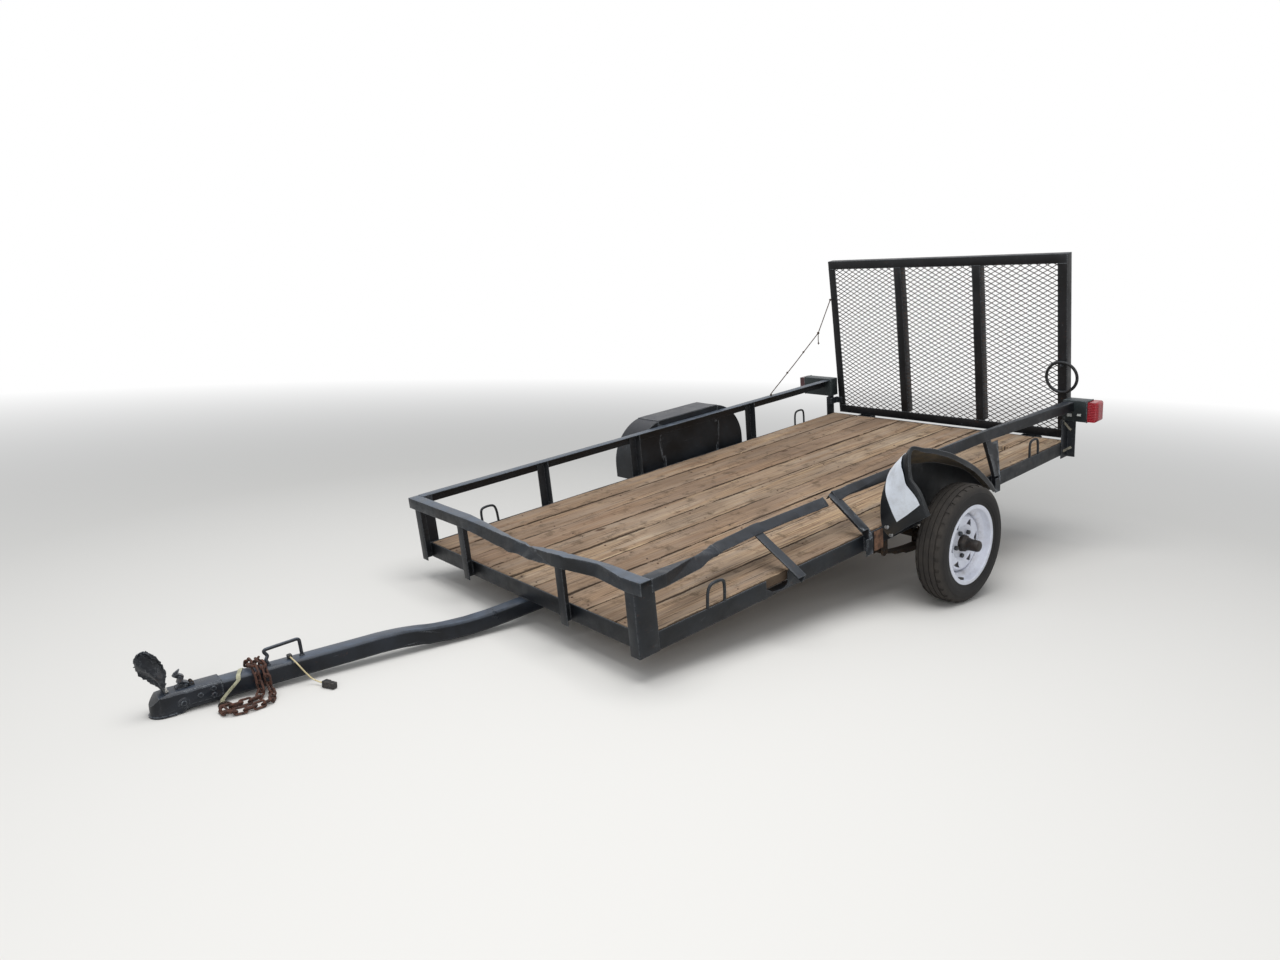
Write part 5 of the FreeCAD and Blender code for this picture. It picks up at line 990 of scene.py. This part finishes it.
for face in diamonds:
    middle = face.calc_center_median().z
    for vert in face.verts:
        vert.co.x += 1.3 * max(-1.0, min(1.0, (vert.co.z - middle) / 9))
bmesh.ops.delete(shape, geom=diamonds, context="FACES")
bmesh.ops.solidify(shape, geom=shape.faces, thickness=1.7)
bmesh.ops.transform(shape, matrix=lean, verts=shape.verts)
thin_enamel = rusted_steel("thin_enamel_on_mesh", "#15161a", "#3c2c24", metallic=0.1, roughness=0.6, scale=14.0)
fit("expanded_mesh", shape, thin_enamel, "gate", "black_paint", "gate_mesh")

# Gate rope: three-strand hemp 7 mm thick, gone brown, pulled tight from the right rail to the gate's edge,
# knotted on the way and where it is tied, with a tail left hanging.
hemp, place = new_finish("weathered_hemp")
fibres = add(hemp, "TexNoise", {"Vector": place, "Scale": 260.0, "Detail": 5.0, "Roughness": 0.7})
colour = add(hemp, "ValToRGB", {0: fibres}, stops=((0.3, "#2c221b"), (0.55, "#4e3d30"), (0.75, "#77624c")))
bump = add(hemp, "Bump", {"Height": fibres, "Distance": 0.0008})
shader = add(hemp, "BsdfPrincipled", {"Base Color": colour, "Roughness": 0.95, "Normal": bump})
add(hemp, "OutputMaterial", {"Surface": shader})
low, knot, high = Vector((588, -818.5, 308)), Vector((140, -786, 627)), Vector((36, -762, 828))
strands = []


def lay(points, radius=1.75, pitch_length=24.0):
    """Three strands laid round one line."""
    for third in range(3):
        run, gone = [], 0.0
        for start, end in zip(points, points[1:]):
            along = (end - start).normalized()
            side = along.cross(Vector((0, 0, 1))).normalized() if abs(along.z) < 0.95 else Vector((1, 0, 0))
            other = along.cross(side)
            count = max(2, int((end - start).length / 4))
            for step in range(count):
                spot = start.lerp(end, step / count)
                turn = math.tau * ((gone + (end - start).length * step / count) / pitch_length + third / 3)
                run.append(tuple(spot + (side * math.cos(turn) + other * math.sin(turn)) * radius))
            gone += (end - start).length
        strands.append(run)


lay([low, low.lerp(knot, 0.5) + Vector((0, 1, -2)), knot])
lay([knot, high])
lay([knot, Vector((139, -789, 588)), Vector((135, -791, 548))], 1.3)
lay([Vector((588, -818.5, 297)), Vector((588, -818.5, 310))], 1.6)
for middle, size in ((knot, 7.0), (low.lerp(knot, 0.34), 5.4), (low.lerp(knot, 0.68), 5.0), (low + Vector((0, 0, -6)), 6.0),
                     (high, 6.0), (Vector((136, -790, 560)), 4.6)):
    for turn in range(3):
        tilt = Euler((turn * 0.9, 0.5 + turn * 0.7, turn * 1.9)).to_matrix()
        strands.append([tuple(middle + tilt @ Vector((size * math.cos(a), size * math.sin(a), 2.0 * math.sin(2 * a))))
                        for a in [math.tau * k / 10 for k in range(11)]])
round_bar("hemp_rope", strands, 1.75, hemp, "gate", "brown_rope", "gate_rope", smooth=2, sides=1)

# Lamps: boxes folded from 2 mm sheet and enamelled dark green-grey, each with a red acrylic lens pushed on
# its outer end over a rubber seal. Two pale scuffs on the left one and a torn pale bracket under it.
lamp_enamel = black_enamel("grey_enamel_on_lamp_boxes", paint="#1a2022", faded="#2a3233", dust="#5e6468", dust_and_sheen_share=0.6,
                           rust_share=0.3, gloss=0.35, matt=0.6)
acrylic, place = new_finish("red_acrylic")
film = add(acrylic, "TexNoise", {"Vector": place, "Scale": 40.0, "Detail": 6.0})
share = add(acrylic, "ValToRGB", {0: film}, stops=((0.42, 0.0), (0.8, 0.4)))
# the right lens has gone dark with road film
right_side = add(acrylic, "Math", {0: add(acrylic, "SeparateXYZ", {0: place}, "Y"), 1: 0.0}, operation="LESS_THAN")
colour = add(acrylic, "Mix", {0: share, 6: "#a31425", 7: "#8a4750"}, 2, data_type="RGBA")
colour = add(acrylic, "Mix", {0: add(acrylic, "Math", {0: right_side, 1: 0.85}, operation="MULTIPLY"), 6: colour,
                              7: "#2f2428"}, 2, data_type="RGBA")
# prisms moulded inside the lens, 9 mm apart
prisms = add(acrylic, "TexWave", {"Vector": place, "Scale": 35.0}, "Fac", bands_direction="Z")
shader = add(acrylic, "BsdfPrincipled", {"Base Color": colour, "Roughness": 0.22, "IOR": 1.49, "Transmission Weight": 0.2,
                                         "Normal": add(acrylic, "Bump", {"Height": prisms, "Distance": 0.0012})})
add(acrylic, "OutputMaterial", {"Surface": shader})
bare_alloy = rusted_steel("bare_zinc_plate", "#a9a79b", "#77715f", metallic=0.55, roughness=0.5, scale=120.0)
for side, label, seam, end in ((1, "left", 906, 958), (-1, "right", -998, -1050)):
    shape = rolled("lamp_box_" + label, 3.0, 60, 0.8)
    block(shape, (-33, seam - 3.5 * side if side > 0 else seam - 0.5, 188), (44, seam + 0.5 if side > 0 else seam + 3.5, 306), 2.0, 2)
    for x, z in ((-12, 206), (26, 290)):
        bmesh.ops.create_cone(shape, segments=12, radius1=5, radius2=3.4, depth=3, cap_ends=True,
                              matrix=Matrix.Translation((43, side * 800 + x, z)) @ Matrix.Rotation(math.pi / 2, 4, "Y"))
    fit(label + "_lamp_box", shape, lamp_enamel, "chassis", "lamp_box_paint", "lamp_box_" + label)
    fit(label + "_lens", rolled("lamp_lens_" + label, 0.0, 30, 0.0), acrylic, "chassis", "red_lens", "lamp_lens_" + label,
        corner=40)
scuffed = rusted_steel("scuffed_pale_enamel", "#c3c6c2", "#6d7272", metallic=0.0, roughness=0.7, scale=150.0)
shape = bmesh.new()
for y, z, wide, high in ((815, 224, 13, 8), (866, 229, 10, 6)):
    block(shape, (43.6, y - wide, z - high), (44.6, y + wide, z + high), 0.3, 1)
bmesh.ops.subdivide_edges(shape, edges=shape.edges[:], cuts=3, use_grid_fill=True)
for vert in shape.verts:
    push = noise.noise_vector(vert.co / 7) * 3.0
    vert.co += Vector((0, push.y, push.z))
fit("lamp_scuffs", shape, scuffed, "chassis", "lamp_box_paint")
shape = bmesh.new()
for low, high in (((50, 785, 189), (50, 830, 144)), ((50, 781, 15), (50, 834, 50))):
    run = Vector(high) - Vector(low)
    across = Vector((0, -run.z, run.y)).normalized()
    lines = [[Vector(low).lerp(Vector(high), k / 8) + across * v + Vector((1.5 * math.sin(k * 1.3) + v * 0.08, 0, 0))
              for v in (-6, -3, 0, 3, 6)] for k in range(9)]
    strip = drawn_sheet(lines, 1.4)
    part = bpy.data.meshes.new("bracket_strip")
    strip.to_mesh(part)
    strip.free()
    shape.from_mesh(part)
    bpy.data.meshes.remove(part)
fit("lamp_bracket_strips", shape, bare_alloy, "chassis", "zinc_nuts")

# Studio: a pale floor that turns to plain white away from the trailer, one large soft light overhead and
# a little ahead, a low one on the camera's side, and an even grey world.
floor_mesh = bpy.data.meshes.new("floor")
shape = bmesh.new()
bmesh.ops.create_grid(shape, x_segments=1, y_segments=1, size=60.0)
shape.to_mesh(floor_mesh)
shape.free()
floor = bpy.data.objects.new("floor", floor_mesh)
bpy.context.scene.collection.objects.link(floor)
paper, place = new_finish("studio_floor")
here = add(paper, "TexCoord", {}, "Object")
far = add(paper, "MapRange", {"Value": add(paper, "VectorMath", {0: here}, "Value", operation="LENGTH"), "From Min": 3.5,
                              "From Max": 12.0})
rays = add(paper, "LightPath", {}).node.outputs
seen = add(paper, "Math", {0: rays["Is Camera Ray"], 1: rays["Is Glossy Ray"]}, operation="ADD")
seen = add(paper, "Math", {0: seen, 1: rays["Is Transmission Ray"]}, operation="ADD", use_clamp=True)
share = add(paper, "Math", {0: far, 1: seen}, operation="MULTIPLY")
matt = add(paper, "BsdfDiffuse", {"Color": "#dcdad6"})
white = add(paper, "Emission", {"Color": "#ffffff", "Strength": 1.0})
add(paper, "OutputMaterial", {"Surface": add(paper, "MixShader", {0: share, 1: matt, 2: white})})
floor_mesh.materials.append(paper)

world = bpy.data.worlds.new("studio")
world.use_nodes = True
world.node_tree.nodes.clear()
rays = add(world, "LightPath", {}).node.outputs
seen = add(world, "Math", {0: rays["Is Camera Ray"], 1: rays["Is Glossy Ray"]}, operation="ADD")
seen = add(world, "Math", {0: seen, 1: rays["Is Transmission Ray"]}, operation="ADD", use_clamp=True)
ambient = add(world, "Background", {"Color": "#e9edf2", "Strength": 0.55})
backdrop = add(world, "Background", {"Color": "#ffffff", "Strength": 1.0})
add(world, "OutputWorld", {"Surface": add(world, "MixShader", {0: seen, 1: ambient, 2: backdrop})})
bpy.context.scene.world = world

# columns: name, place, aim, size, watts
for name, spot, aim, size, watts in (("overhead", (1.0, 1.0, 5.5), (0.0, 0.0, 0.4), 5.0, 260.0),
                                     ("low_fill", (4.5, 4.0, 2.2), (0.0, 0.0, 0.5), 3.0, 70.0)):
    lamp = bpy.data.objects.new(name, bpy.data.lights.new(name, "AREA"))
    lamp.data.shape = "DISK"
    lamp.data.size = size
    lamp.data.energy = watts
    lamp.location = spot
    lamp.rotation_euler = (Vector(aim) - Vector(spot)).to_track_quat("-Z", "Y").to_euler()
    bpy.context.scene.collection.objects.link(lamp)
bpy.context.scene.view_settings.view_transform = "Standard"
